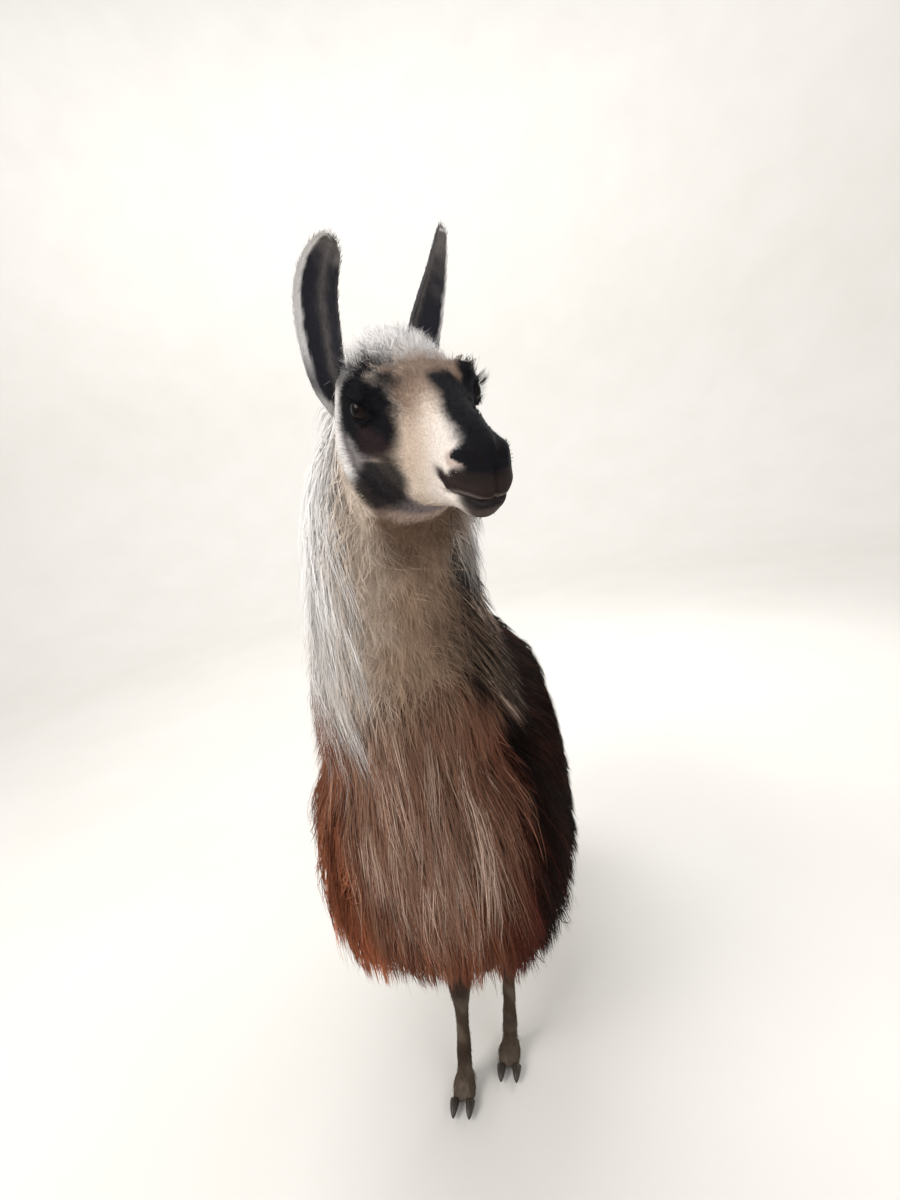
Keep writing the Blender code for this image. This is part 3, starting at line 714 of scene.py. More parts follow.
def ear_surface(stations, way):
    """A curved ear, cupped in front: each ring is an arched strip, round at its rims.

    Returns the points as rings, the angle round each ring and the share of the way along.
    """
    ahead, out, up, half, turn = through(stations, EAR_GRID[0]).T
    centre = from_head(rows(ahead, way * out, up) + EAR_START)
    along = unit(np.gradient(centre, axis=0))
    facing = np.radians(turn)[:, None]
    front = np.cos(facing) * HEAD_AXES[0] + way * np.sin(facing) * HEAD_AXES[1]
    front = unit(front - along * (front * along).sum(1, keepdims=True))
    across = np.cross(front, along)
    around = circle(EAR_GRID[1])
    x = np.cos(around)
    rim = np.sqrt(half / half.max())[:, None]
    depth = (EAR_CUP * (x**2 - EAR_LEVEL) + np.sin(around) * EAR_WALL) * rim
    rings = centre[:, None] + across[:, None] * (half[:, None] * x)[..., None]
    rings = rings + front[:, None] * depth[..., None]
    return rings, around, np.linspace(0, 1, EAR_GRID[0])


def ear_colour(around, share, points, way):
    """Soot in the hollow with a grey streak, grey towards the tip, white on outer rim and outer back."""
    inner = ramp(np.sin(around), -0.10, 0.16)
    outer_side = -np.cos(around) * way
    fine = ripple(points, 0.02, 12) * 0.05
    if way < 0:
        pale_from, paleness, rim, far_rim, foot = 0.64, 0.8, (0.58, 0.72), 0.25, 0.85
        tip = ramp(share, 0.93, 0.98) * ramp(outer_side, -0.5, 0.3)
    else:
        pale_from, paleness, rim, far_rim, foot = 0.34, 0.95, (0.86, 0.97), 0.6, 0.0
        tip = ramp(share, 0.88, 0.94)
    edge = ramp(outer_side + fine, *rim) * (1 - 0.75 * fall(share, 0.16, 0.30))
    inside = mixed(
        EAR_SOOT,
        (EAR_GREY, bell(outer_side + fine, -0.30, 0.20) * 0.45),
        (EAR_GREY, ramp(share + fine, pale_from, 0.90) * paleness),
        (WOOL_WHITE, np.maximum(edge, tip * 0.85)),
        (EAR_GREY, ramp(-outer_side + fine, 0.86, 0.98) * far_rim),
        (WOOL_WHITE, fall(share + fine, 0.05, 0.12) * foot),
    )
    back = mixed(
        WOOL_WHITE,
        (SHANK, ramp(ripple(points, 0.05, 13), 0.2, 0.9) * 0.3),
        (EAR_SOOT, ramp(-outer_side, 0.10, 0.50) * 0.92),
    )
    return mixed(back, (inside, inner))


def build_ear(stations, way):
    """One ear: its points, faces and colours, and its side, 1 for the animal's left."""
    points, around, share = ear_surface(stations, way)
    points = points.reshape(-1, 3)
    colours = ear_colour(np.tile(around, len(share)), np.repeat(share, len(around)), points, way)
    return points, outward(points, tube_triangles(*EAR_GRID)), colours, way


# ---- A field that gives the nearest place of the skin
class SkinField:
    """The nearest skin point of each cell of a grid, passed on from cell to cell outwards from the skin."""

    CELL = 0.014  # a cell's side
    REACH = 11  # cells that the field goes out from the skin

    def __init__(self, points, normals):
        """Puts each skin point in its cell, then fills the cells around by passing the nearest one on."""
        self.points, self.normals = points, normals
        room = self.CELL * self.REACH
        self.low = points.min(0) - room
        shape = np.ceil((points.max(0) + room - self.low) / self.CELL).astype(int) + 1
        self.near = np.full(shape, -1)
        self.near[tuple(self.cells(points, shape).T)] = np.arange(len(points))
        self.far = np.full(shape, np.inf)
        grid = np.stack(np.meshgrid(*(np.arange(n) for n in shape), indexing="ij"), -1)
        self.middles = self.low + (grid + 0.5) * self.CELL
        filled = self.near >= 0
        gap = self.middles[filled] - points[self.near[filled]]
        self.far[filled] = (gap**2).sum(-1)
        for _ in range(self.REACH):
            for axis in range(3):
                for step in (-1, 1):
                    self.pass_on(axis, step)

    def cells(self, points, shape):
        """The cell that each point is in."""
        return np.clip(((points - self.low) / self.CELL).astype(int), 0, np.array(shape) - 1)

    def pass_on(self, axis, step):
        """Offers every cell the nearest point of its neighbour on one side."""
        offer = np.roll(self.near, step, axis)
        has = offer >= 0
        gap = self.middles[has] - self.points[offer[has]]
        far = np.full(self.far.shape, np.inf)
        far[has] = (gap**2).sum(-1)
        better = far < self.far
        self.near[better] = offer[better]
        self.far[better] = far[better]

    def look(self, places):
        """The outward direction at each place and its height over the skin there."""
        index = self.near[tuple(self.cells(places, self.near.shape).T)]
        known = index >= 0
        index = np.where(known, index, 0)
        out = self.normals[index]
        above = ((places - self.points[index]) * out).sum(1)
        return out, np.where(known, above, 1.0)


# ---- Tufts
RISE = 0.7  # the power by which a line's height over the skin grows along it
MOST_LIFT = 0.03  # the furthest that one step of a line is pushed out
NO_SKIN = 0.5  # a height over the skin beyond this means that there is no skin nearby
LEAST_PART, LEAST_LENGTH = 0.2, 0.8  # how much of a step, and how many steps, trimming always leaves
DRAW_IN = 1.4  # the power by which the tufts of a lock close in towards their tips
AT_ONCE = 2000  # tufts compared with the locks at one time
OWN_SIDE, OWN_PHASE = 0.25, 0.35  # how much each tuft's wave differs from its lock's
BAKE_PATCH = 0.003  # each tuft's patch on the map for the export
SOFTNESS = 0.55  # how far a tuft is lit as the skin under it would be
FLATNESS = 0.6  # a tuft's thickness as a share of its width


def scattered(points, triangles, weight, count, draw):
    """This many roots spread over the skin, in proportion to area times a weight for each triangle."""
    a, b, c = (points[triangles[:, i]] for i in range(3))
    area = np.linalg.norm(np.cross(b - a, c - a), axis=1) / 2
    share = np.cumsum(area * weight)
    picks = (np.arange(count) + draw.uniform(0, 1, count)) * (share[-1] / count)
    chosen = np.minimum(np.searchsorted(share, picks), len(triangles) - 1)
    u, v = draw.uniform(0, 1, (2, count))
    over = u + v > 1
    u, v = np.where(over, 1 - u, u)[:, None], np.where(over, 1 - v, v)[:, None]
    return a[chosen] + (b - a)[chosen] * u + (c - a)[chosen] * v, chosen


def grown(roots, field, pull, length, height, rings, lift):
    """The middle lines of tufts.

    A line starts on the skin and goes on in equal steps along its pull, less the part of the pull that
    leads into the skin, and with only a share, the lift, of any part that leads out of it. It is pushed
    out to a height that grows with the way along it, and hangs free where the skin falls away.
    """
    lines = np.empty((len(roots), rings + 1, 3))
    lines[:, 0] = roots
    spot = roots.copy()
    for ring in range(1, rings + 1):
        out, _ = field.look(spot)
        along = (pull * out).sum(1, keepdims=True)
        drop = np.where(along > 0, along * (1 - lift), along)
        spot = spot + unit(pull - drop * out) * (length / rings)[:, None]
        out, above = field.look(spot)
        lack = height * (ring / rings) ** RISE - above
        spot = spot + out * np.clip(lack, 0, MOST_LIFT)[:, None]
        lines[:, ring] = spot
    return lines


def trimmed(lines, surface, margin):
    """Shortens each line to where it would leave the solids by more than its margin."""
    count, rings = lines.shape[:2]
    _, above = surface.look(lines.reshape(-1, 3))
    over = above.reshape(count, rings) - margin[:, None]
    over[:, 0] = -1.0
    over[over > NO_SKIN] = -1.0
    past = over > 0
    first = np.where(past.any(1), past.argmax(1), rings)
    at = np.arange(count)
    last = np.minimum(first, rings - 1)
    inside, outside = over[at, np.maximum(last - 1, 0)], over[at, last]
    part = np.clip(-inside / np.maximum(outside - inside, 1e-6), LEAST_PART, 1)
    end = np.where(first < rings, last - 1 + part, rings - 1.0)
    step = np.linspace(0, 1, rings)[None] * np.maximum(end, LEAST_LENGTH)[:, None]
    low = np.minimum(step.astype(int), rings - 2)
    mix = (step - low)[..., None]
    return lines[at[:, None], low] * (1 - mix) + lines[at[:, None], low + 1] * mix


def gathered(lines, strength, each, draw):
    """Draws the tips of neighbouring tufts together into locks of about this many."""
    count = len(lines)
    heads = draw.choice(count, max(count // each, 1), replace=False)
    own = np.empty(count, int)
    for part in np.array_split(np.arange(count), max(count // AT_ONCE, 1)):
        gap = ((lines[part, None, 1] - lines[None, heads, 1]) ** 2).sum(-1)
        own[part] = gap.argmin(1)
    share = np.linspace(0, 1, lines.shape[1])[None, :, None] ** DRAW_IN
    return lines + (lines[heads[own]] - lines) * share * strength[:, None, None], own


def waved(lines, size, turns, lock, draw):
    """Bends the lines sideways in soft waves; the tufts of a lock share one and add a little of their own."""
    count, rings = lines.shape[:2]
    along = unit(lines[:, -1] - lines[:, 0])
    aside = draw.normal(size=(count, 3))[lock] + draw.normal(0, OWN_SIDE, (count, 3))
    side = unit(np.cross(along, aside))
    share = np.linspace(0, 1, rings)[None]
    phase = draw.uniform(0, 2 * np.pi, (count, 1))[lock] + draw.normal(0, OWN_PHASE, (count, 1))
    swing = (np.sin(share * turns[:, None] * 2 * np.pi + phase) - np.sin(phase)) * share**0.5
    return lines + side[:, None] * (swing * size[:, None])[..., None]


def tuft_object(name, lines, facing, width, colours, tips, places, shades, draw):
    """Tufts as one mesh: three-sided closed spikes round the lines, flattened and drawn to a point.

    Their normals lean towards the way the skin faces, as light soaks through real wool. Each carries
    its colour from root to tip, a map of its own strands, and the export's map, on which it is a small
    patch at its root's place.
    """
    count, rings = lines.shape[0], lines.shape[1] - 1
    share = np.linspace(0, 1, rings + 1)[:-1]
    along = unit(np.gradient(lines, axis=1))[:, :-1]
    side = unit(np.cross(along, draw.normal(size=(count, 1, 3)) * 0.7 + along[:, :1] * 0.01))
    flat = np.cross(along, side)
    profile = (0.55 + 0.45 * np.sin(np.clip(share * 2.2, 0, 1) * np.pi / 2)) * (1 - share) ** 0.75
    reach = width[:, None] * profile[None]
    corners = circle(3)
    across, thick = np.cos(corners), np.sin(corners) * FLATNESS
    offset = side[:, :, None] * across[None, None, :, None] + flat[:, :, None] * thick[None, None, :, None]
    body = lines[:, :-1, None] + offset * (reach / 2)[:, :, None, None]
    points = np.concatenate([body.reshape(count, rings * 3, 3), lines[:, -1:]], 1)
    each = rings * 3 + 1

    walls, index = ring_walls(rings, 3)
    last = index[-1]
    faces = np.concatenate([walls, rows(last, np.roll(last, -1), rings * 3), [[0, 2, 1]]])
    triangles = (faces[None] + (np.arange(count) * each)[:, None, None]).reshape(-1, 3)
    made = mesh_from(name, points.reshape(-1, 3), triangles)
    soft = unit(unit(offset) * (1 - SOFTNESS) + facing[:, None, None] * SOFTNESS)
    soft = np.concatenate([soft.reshape(count, rings * 3, 3), facing[:, None]], 1)
    made.data.normals_split_custom_set_from_vertices(soft.reshape(-1, 3))

    way = np.append(np.repeat(share, 3), 1.0)
    shade = colours[:, None] + (tips - colours)[:, None] * (way**1.2)[None, :, None]
    # painted shade: the lower part of each tuft is darkened towards its root, as the coat around it would
    # shade it
    shade = shade * (shades[0] + (shades[1] - shades[0]) * ramp(way, 0.0, 0.45))[None, :, None]
    paint(made.data, shade.reshape(-1, 3))

    # corners of each face on the strand map: round the tuft and along it
    third = np.arange(3) / 3
    first, low, high = np.tile(third, rings - 1)[:, None], np.repeat(share[:-1], 3), np.repeat(share[1:], 3)
    strand = np.concatenate([
        rows(first + third[[0, 1, 1]], np.stack([low, low, high], 1)),
        rows(first + third[[0, 1, 0]], np.stack([low, high, high], 1)),
        rows(third[:, None] + np.array([0, 1 / 3, 1 / 6]), np.array([share[-1], share[-1], 1.0])),
        [[[0.1, 0.02], [0.9, 0.02], [0.5, 0.08]]],
    ])
    seed = draw.uniform(0, 40, (count, 1, 1, 2))
    strands = made.data.uv_layers.new(name="Strands")
    strands.data.foreach_set("uv", (strand[None] + np.round(seed)).astype(np.float32).ravel())
    baked = made.data.uv_layers.new(name="OFBake")
    patch = places[:, None, None, :] + (strand[None] - 0.5) * BAKE_PATCH
    baked.data.foreach_set("uv", np.clip(patch, 0.0005, 0.9995).astype(np.float32).ravel())
    return made


# ---- Materials
def node(tree, kind, settings=None, **links):
    """Adds a node with its settings, and links or sets its inputs by name."""
    made = tree.nodes.new(kind)
    for key, value in (settings or {}).items():
        setattr(made, key, value)
    for key, value in links.items():
        socket = made.inputs[int(key[1:])] if key[0] == "n" and key[1:].isdigit() else made.inputs[key]
        if isinstance(value, bpy.types.NodeSocket):
            tree.links.new(value, socket)
        else:
            socket.default_value = value
    return made


def new_material(name, roughness, **fixed):
    """A material whose fixed values stand on its shader's own sockets."""
    made = bpy.data.materials.new(name)
    made.use_nodes = True
    tree = made.node_tree
    shader = tree.nodes["Principled BSDF"]
    shader.inputs["Roughness"].default_value = roughness
    for key, value in fixed.items():
        shader.inputs[key.replace("_", " ")].default_value = value
    return made, tree, shader


def grain(tree, size, detail, place=None):
    """A soft random pattern with this many grains to a metre, on a thing's own places or on given ones."""
    if place is None:
        place = node(tree, "ShaderNodeTexCoord").outputs["Object"]
    return node(tree, "ShaderNodeTexNoise", Vector=place, Scale=size, Detail=detail).outputs["Fac"]


def stretched(tree, place, sizes):
    """Places drawn out by a size on each axis."""
    return node(tree, "ShaderNodeMapping", Vector=place, Scale=sizes).outputs["Vector"]


def coat_colour(tree, shader, pattern, dark=0.7, light=1.3, ends=(0.0, 1.0)):
    """The colours of the coat, made darker and lighter by a pattern between its two ends."""
    coat = node(tree, "ShaderNodeAttribute", {"attribute_name": "coat"}).outputs["Color"]
    tone = node(tree, "ShaderNodeMapRange", Value=pattern, n1=ends[0], n2=ends[1], n3=dark, n4=light)
    shade = node(tree, "ShaderNodeVectorMath", {"operation": "SCALE"}, n0=coat, Scale=tone.outputs["Result"])
    tree.links.new(shade.outputs["Vector"], shader.inputs["Base Color"])


def two_colours(tree, shader, pattern, first, second):
    """One colour turning into another by a pattern."""
    mix = node(tree, "ShaderNodeMix", {"data_type": "RGBA"}, n0=pattern, n6=(*first, 1), n7=(*second, 1))
    tree.links.new(mix.outputs[2], shader.inputs["Base Color"])


def bumps(tree, shader, pattern, strength, depth):
    """A fine bump of this depth in metres, by a pattern."""
    bump = node(tree, "ShaderNodeBump", Strength=strength, Distance=depth, Height=pattern)
    tree.links.new(bump.outputs["Normal"], shader.inputs["Normal"])


def wool_material():
    """Llama wool: dull, with no shine. Each tuft shows strands along its length."""
    made, tree, shader = new_material("llama_wool", 0.60, Specular_IOR_Level=0.05)
    strands = node(tree, "ShaderNodeUVMap", {"uv_map": "Strands"}).outputs["UV"]
    # About a dozen strands across a tuft, coarser than real 0.03 mm fibres so that they show.
    lines = grain(tree, 1.0, 1.0, stretched(tree, strands, (12.0, 1.3, 1.0)))
    coat_colour(tree, shader, lines, 0.72, 1.22, (0.25, 0.75))
    return made


def skin_material():
    """Short flat hair over skin: the markings broken up by 2 mm flecks, and a fine bump of hair."""
    made, tree, shader = new_material("short_hair_and_skin", 0.65, Specular_IOR_Level=0.05)
    fleck = grain(tree, 420.0, 2.0)
    coat_colour(tree, shader, fleck)
    bumps(tree, shader, fleck, 0.6, 0.0014)
    return made


def horn_material():
    """Toenail horn: dark and a little shiny, with fine grooves running to its tip, about 1 mm apart."""
    made, tree, shader = new_material("toenail_horn", 0.42, Specular_IOR_Level=0.35)
    place = node(tree, "ShaderNodeTexCoord").outputs["Object"]
    grooves = grain(tree, 1.0, 2.0, stretched(tree, place, (900.0, 60.0, 500.0)))
    two_colours(tree, shader, grooves, HORN_DARK, HORN_PALE)
    bumps(tree, shader, grooves, 0.2, 0.0003)
    return made


def eye_material():
    """A wet eye: dark brown iris with fine spokes and a wide black pupil, under a clear glossy front."""
    made, tree, shader = new_material("wet_eye", 0.20, Specular_IOR_Level=0.04, Coat_Weight=0.12,
                                      Coat_Roughness=0.02)
    coat_colour(tree, shader, grain(tree, 900.0, 1.0))
    return made


# ---- Camera, light and floor
CAMERA_FROM_EYES = np.array([0.1247, -0.6162, -0.1158])
CAMERA_AHEAD = Vector((-0.204, 0.959, -0.196))
CAMERA_UP = Vector((0.140, 0.227, 0.964))
CAMERA_LENS = 15.24  # mm on a 36 mm frame, as wide as a telephone's widest lens
SKY, SKY_STRENGTH = (0.86, 0.88, 0.92, 1), 0.80
# The place of each lamp, where it aims, its size in metres, its power in watts and its colour.
LAMPS = (
    ("key_light", (-2.2, -2.4, 3.0), (0, -0.3, 1.1), 1.8, 100, (1.0, 0.985, 0.96)),
    ("fill_light", (2.4, -2.6, 1.9), (0.1, -0.3, 1.0), 2.0, 34, (0.95, 0.975, 1.0)),
    ("back_light", (1.6, 2.6, 2.8), (0, 0.2, 0.9), 1.8, 40, (1.0, 1.0, 1.0)),
    ("wall_light", (-1.0, 1.5, 9.0), (-1.5, 9.0, 4.5), 5.0, 900, (0.97, 0.985, 1.0)),
)


def set_camera():
    """The camera close in front of the llama, placed from the middle between its eyes."""
    lens = bpy.data.cameras.new("camera")
    lens.lens = CAMERA_LENS
    lens.sensor_width = 36.0
    lens.clip_start = 0.02
    camera = placed("camera", lens)
    ahead = CAMERA_AHEAD.normalized()
    right = ahead.cross(CAMERA_UP).normalized()
    turn = Matrix((right, right.cross(ahead), -ahead)).transposed()
    camera.matrix_world = Matrix.Translation(EYES + CAMERA_FROM_EYES) @ turn.to_4x4()
    bpy.context.scene.camera = camera


def soft_light(name, place, aim, size, power, colour):
    """A square lamp of this size in metres and power in watts, turned towards its aim."""
    lamp = bpy.data.lights.new(name, "AREA")
    lamp.shape = "SQUARE"
    lamp.size = size
    lamp.energy = power
    lamp.color = colour
    made = placed(name, lamp)
    way = Vector(aim) - Vector(place)
    made.matrix_world = Matrix.Translation(place) @ way.to_track_quat("-Z", "Y").to_matrix().to_4x4()


def backdrop():
    """A round floor that curves up into a wall behind the llama, open in front.

    Each line runs straight out from the middle, through a quarter circle, then straight up; the lines
    stand side by side like a fan. Past the fan's two ends the floor stays flat.
    """
    reach, curve, high = 6.5, 4.0, 15.0
    turn = np.linspace(0, np.pi / 2, 25)
    out = np.concatenate([[0.0], reach + curve * np.sin(turn), [reach + curve]])
    up = np.concatenate([[0.0], curve * (1 - np.cos(turn)), [high]])
    around = circle(144)
    wall = ramp(np.sin(around), -0.35, -0.05)
    points = rows(np.outer(out, np.cos(around)), np.outer(out, np.sin(around)), np.outer(up, wall))
    walls, _ = ring_walls(len(out), len(around))
    return points.reshape(-1, 3), walls[:, ::-1]


def set_stage():
    """A pale floor that turns into a wall, a pale sky all round and four soft lamps."""
    for lamp in LAMPS:
        soft_light(*lamp)
    world = bpy.data.worlds.new("studio")
    world.use_nodes = True
    world.node_tree.nodes["Background"].inputs["Color"].default_value = SKY
    world.node_tree.nodes["Background"].inputs["Strength"].default_value = SKY_STRENGTH
    bpy.context.scene.world = world
    bpy.context.scene.view_settings.view_transform = "Standard"

    floor = mesh_from("floor", *backdrop())
    made, tree, shader = new_material("painted_floor", 0.8)
    two_colours(tree, shader, grain(tree, 1.5, 3.0), FLOOR_GREY, FLOOR_PALE)
    floor.data.materials.append(made)


# ---- The coat
def bare_share(points):
    """1 where no tufts grow: the eyes, the soles, the nostrils, the lips' edge and the nose's velvet."""
    a, _, up = to_head(points).T
    bare = fall(points[:, 2], 0.004, 0.012)
    for way in (-1, 1):
        _, _, far, _, share = around_eye(points, way)
        bare = np.maximum(bare, (share < 1.08) * (far < 2.0 * EYE_RADIUS))
    lips = bell(up - mouth_height(a), 0, 0.0030) * ramp(a, 0.128, 0.140)
    velvet = ramp(a, 0.146, 0.172) * (up > -0.12)
    return np.maximum.reduce([bare, velvet, lips > 0.45, nostril_share(points) > 0.5])


def woolly_share(points):
    """1 on the front of the neck, where the wool is short and frizzy."""
    share, turn = round_neck(points)
    return fall(np.abs(turn - 6), 44, 64) * ramp(share, 0.20, 0.34)


def trunk_pull(points):
    """Down and a little back, and away from the spine's parting on top."""
    top = ramp(points[:, 2], 0.98, 1.12)
    return rows(np.sign(points[:, 0] - SPINE) * (0.05 + 0.5 * top), 0.10 + 0.25 * top, -1.0 + 0.2 * top)


def chest_pull(points):
    """Straight down, and slightly together towards the middle low on the chest."""
    return rows(-0.15 * points[:, 0], 0, -1)


def neck_pull(points):
    """Down the neck, the same everywhere."""
    return unit(NECK_FOOT - NECK_TOP) * 0.25 + np.array([0, 0, -0.85])


def mane_pull(points):
    """Down; on the animal's left also outwards, over the shoulder."""
    share, turn = round_neck(points)
    left = ramp(turn, 30, 60)
    low = fall(share, 0.50, 0.72)
    return rows(0.05 + (0.14 + 0.34 * low) * left, 0.02 + 0.14 * left * low, -1)


def crown_pull(points):
    """Up and back from the forehead, and out to the sides."""
    return rows(-0.55, to_head(points)[:, 1] * 9, 0.60) @ HEAD_AXES


def face_pull(points):
    """Back from the nose, and down over the cheeks."""
    return rows(-1, 0, -0.7 * ramp(-to_head(points)[:, 2], 0.02, 0.10)) @ HEAD_AXES


def leg_pull(points):
    """Down, and on the foot forwards over the nails' roots."""
    foot = fall(points[:, 2], 0.05, 0.11)
    return rows(0, -1.1 * foot, -1.0 + 0.3 * foot)


def around_trunk(points):
    """The trunk unrolled: the way along it and the angle round it."""
    return points[:, 1], np.arctan2(points[:, 0], points[:, 2] - 0.80)


def around_chest(points):
    """The chest unrolled: the angle round it and the height."""
    return np.arctan2(points[:, 0], CHEST_FRONT + 0.30 - points[:, 1]), points[:, 2]


def around_neck(points):
    """The neck unrolled: the angle round it and the share of the way up."""
    share, turn = round_neck(points)
    return turn, share


def around_head(points):
    """The head unrolled: the angle round it and the way ahead."""
    q = to_head(points)
    return np.arctan2(q[:, 1], q[:, 2] + 0.045), q[:, 0]


def around_legs(points):
    """The four legs side by side, each unrolled round its own middle."""
    which = (points[:, 0] > 0) * 1 + (points[:, 1] > 0) * 2
    turn = np.zeros(len(points))
    for leg in range(4):
        mine = which == leg
        if mine.any():
            middle = points[mine].mean(0)
            turn[mine] = np.arctan2(points[mine, 0] - middle[0], points[mine, 1] - middle[1])
    return which + (turn + np.pi) / (2 * np.pi) * 0.96, points[:, 2]


def zone_names(points):
    """The name of the part of the coat that each point is in."""
    share, _ = round_neck(points)
    wobble = ripple(points, 0.05, 21) * 0.008
    head = before_rim(to_head(points)) > 0
    facing = np.degrees(np.arctan2(points[:, 0], CHEST_HUB - points[:, 1]))
    zone = np.where(points[:, 0] > SPINE, "left", "right").astype("U8")
    zone[np.abs(facing + 10) < 88 + wobble * 400] = "chest"
    zone[(share + wobble > 0.15) & (points[:, 1] < 0.05)] = "neck"
    zone[points[:, 1] > TRUNK_BACK - 0.028] = "tail"
    zone[points[:, 2] < LEG_TOP + 0.02] = "legs"
    zone[head] = "face"
    zone[head & (crown_share(points) > 0.4)] = "crown"
    return zone


def shawl_share(points):
    """Where the long hair that hangs over the chest is rooted: the foot of the neck."""
    _, turn = round_neck(points)
    z = points[:, 2] + ripple(points, 0.07, 22) * 0.02
    high = band(z, (0.84, 0.96), (1.12, 1.18))
    return high * band(turn, (-46, -26), (38, 54)) * (points[:, 1] < -0.30)


def mane_share(points):
    """Where the long locks of the neck's sides are rooted."""
    share, turn = round_neck(points)
    side = ramp(np.where(turn > 0, turn + 22, -turn), 70, 84) * fall(np.abs(turn), 135, 160)
    foot = ramp(share - 0.13 * ramp(-turn, 40, 75), 0.22, 0.34)
    return side * foot * (before_rim(to_head(points)) < -0.006)


def neck_length(points):
    """Short in front, and shorter towards the head."""
    return (1 - 0.70 * woolly_share(points)) * (1 - 0.35 * ramp(round_neck(points)[0], 0.7, 1.0))


def mane_length(points):
    """Shorter high on the animal's left, where it ends above the dark hair of the shoulder."""
    share, turn = round_neck(points)
    return 1 - ramp(turn, 20, 50) * (0.25 + 0.25 * ramp(share, 0.42, 0.62))


def face_length(points):
    """Velvet on the muzzle, longer up the face, longest on the cheeks."""
    q = to_head(points)
    return 0.24 + 0.76 * ramp(-q[:, 0], -0.13, -0.03) + 0.8 * ramp(-q[:, 0], -0.02, 0.05)


def crown_roots(points):
    """Where the wool of the crown is rooted: thick on top, and thinning out down the forehead."""
    q = to_head(points)
    forehead = ramp(q[:, 2], 0.014, 0.032) * band(q[:, 0], (-0.19, -0.15), (-0.012, 0.022))
    thin = 1 - 0.6 * ramp(q[:, 0], -0.030, 0.015)
    return forehead * thin * (before_rim(q) > 0)


def crown_length(points):
    """Shorter down the forehead, where it turns into the short hair of the face."""
    q = to_head(points)
    lumps = 1 + 0.30 * ripple(points, 0.022, 25)
    return (1 - 0.72 * ramp(q[:, 0], -0.045, 0.015)) * lumps


def chest_length(points):
    """Locks of unequal length, longest in the middle, for a ragged fringe."""
    return 0.72 + 0.55 * ripple(points, 0.032, 24) - 0.15 * ramp(np.abs(points[:, 0] - 0.02), 0.10, 0.26)


def leg_length(points):
    """Short on the shank, longer towards the trunk and round the foot."""
    z = points[:, 2]
    return 0.5 + 1.9 * ramp(z, 0.28, LEG_TOP) + 0.5 * fall(z, 0.03, 0.08)


def even_length(points):
    """The same everywhere."""
    return np.ones(len(points))


def ragged_length(points):
    """Locks of unequal length, for a fringe of points along the lower edge."""
    return 0.78 + 0.42 * ripple(points, 0.045, 23)


# What every zone has, where it has nothing of its own. Lengths are in metres.
# - gather, each: a lock is this many tufts, whose tips draw together by this share
# - wave: how far a lock bends to the side
# - stand, lift: how far the tips stand out, as a share of the coat's depth, and how freely they lift
# - wisps: the share of tufts that are thin, long and loose
# - spread, frizz: how far a tuft's pull strays, and what is added on the woolly front of the neck
# - tone, lock_tone, root_shade: how unequal tufts and locks are in tone, and how dark the roots are painted,
#   as shade deep in the coat
# - spare, bridge: how far tips may pass the solids' surface, everywhere and over the left shoulder
PLAIN = dict(rings=4, gather=0.5, each=9, wave=0.005, stand=1.0, wisps=0.12, tone=0.10, lock_tone=0.14,
             root_shade=0.60, spare=0.010, bridge=0.0, lift=1.0, length_of=even_length, share=None, frizz=0.0)
FLANK = dict(tufts=10800, length=0.130, width=0.0044, pull=trunk_pull, spread=0.08, unwrap=around_trunk,
             rings=3, slot="fleece_brown", length_of=ragged_length, lock_tone=0.22, gather=0.6, each=11)
FLAT = dict(rings=2, gather=0.0, wave=0.0, wisps=0.0, lock_tone=0.0, stand=0.28)
ZONES = (
    dict(name="chest", tufts=10500, length=0.250, width=0.0036, gather=0.84, each=15, pull=chest_pull,
         spread=0.045, unwrap=around_chest, slot="fleece_brown", length_of=chest_length, lock_tone=0.28,
         rings=5, wave=0.016, spare=0.022),
    dict(name="shawl", tufts=2700, length=0.290, width=0.0028, gather=0.72, pull=chest_pull, spread=0.045,
         rings=5, unwrap=around_chest, slot="fleece_brown", share=shawl_share, stand=1.12, wisps=0.3,
         root_shade=0.85, wave=0.016),
    dict(FLANK, name="left"),
    dict(FLANK, name="right"),
    dict(name="neck", tufts=15000, length=0.120, width=0.0022, rings=3, gather=0.3, each=7, pull=neck_pull,
         spread=0.07, frizz=0.75, unwrap=around_neck, slot="fleece_white", length_of=neck_length,
         root_shade=0.80, lock_tone=0.07, stand=1.12, wave=0.012, wisps=0.2),
    dict(name="mane", tufts=4100, length=0.240, width=0.0028, gather=0.76, each=12, pull=mane_pull,
         spread=0.05, rings=5, unwrap=around_neck, slot="fleece_white", share=mane_share, stand=1.1,
         wisps=0.25, tone=0.06, lock_tone=0.07, root_shade=0.92, wave=0.014, spare=0.012, bridge=0.040,
         length_of=mane_length),
    dict(name="crown", tufts=5600, length=0.033, width=0.0015, rings=3, gather=0.55, each=8, wave=0.009,
         stand=0.95, pull=crown_pull, spread=0.42, unwrap=around_head, slot="fleece_white", wisps=0.3,
         root_shade=0.9, lock_tone=0.05, tone=0.05, share=crown_roots, length_of=crown_length),
    dict(FLAT, name="face", tufts=15500, length=0.0075, width=0.0011, pull=face_pull, spread=0.10,
         unwrap=around_head, slot="fleece_white", root_shade=0.96, lift=0.1, length_of=face_length, tone=0.04,
         spare=0.002),
    dict(FLAT, name="legs", tufts=8600, length=0.015, width=0.0017, pull=leg_pull, spread=0.12,
         unwrap=around_legs, slot="shank_grey", length_of=leg_length, spare=0.003, lift=0.03,
         root_shade=0.92),
    dict(name="tail", tufts=1500, length=0.150, width=0.0055, pull=leg_pull, spread=0.12,
         unwrap=around_trunk, slot="fleece_brown", each=6),
)
MOST_FACES = 195000  # in one piece of the coat
OVER_FLOOR = 0.002  # no hair hangs lower than this
TIP_TONE = 1.10  # how much lighter a tip is than its root
SIZE_SPREAD = 0.16  # how unequal the tufts' lengths are
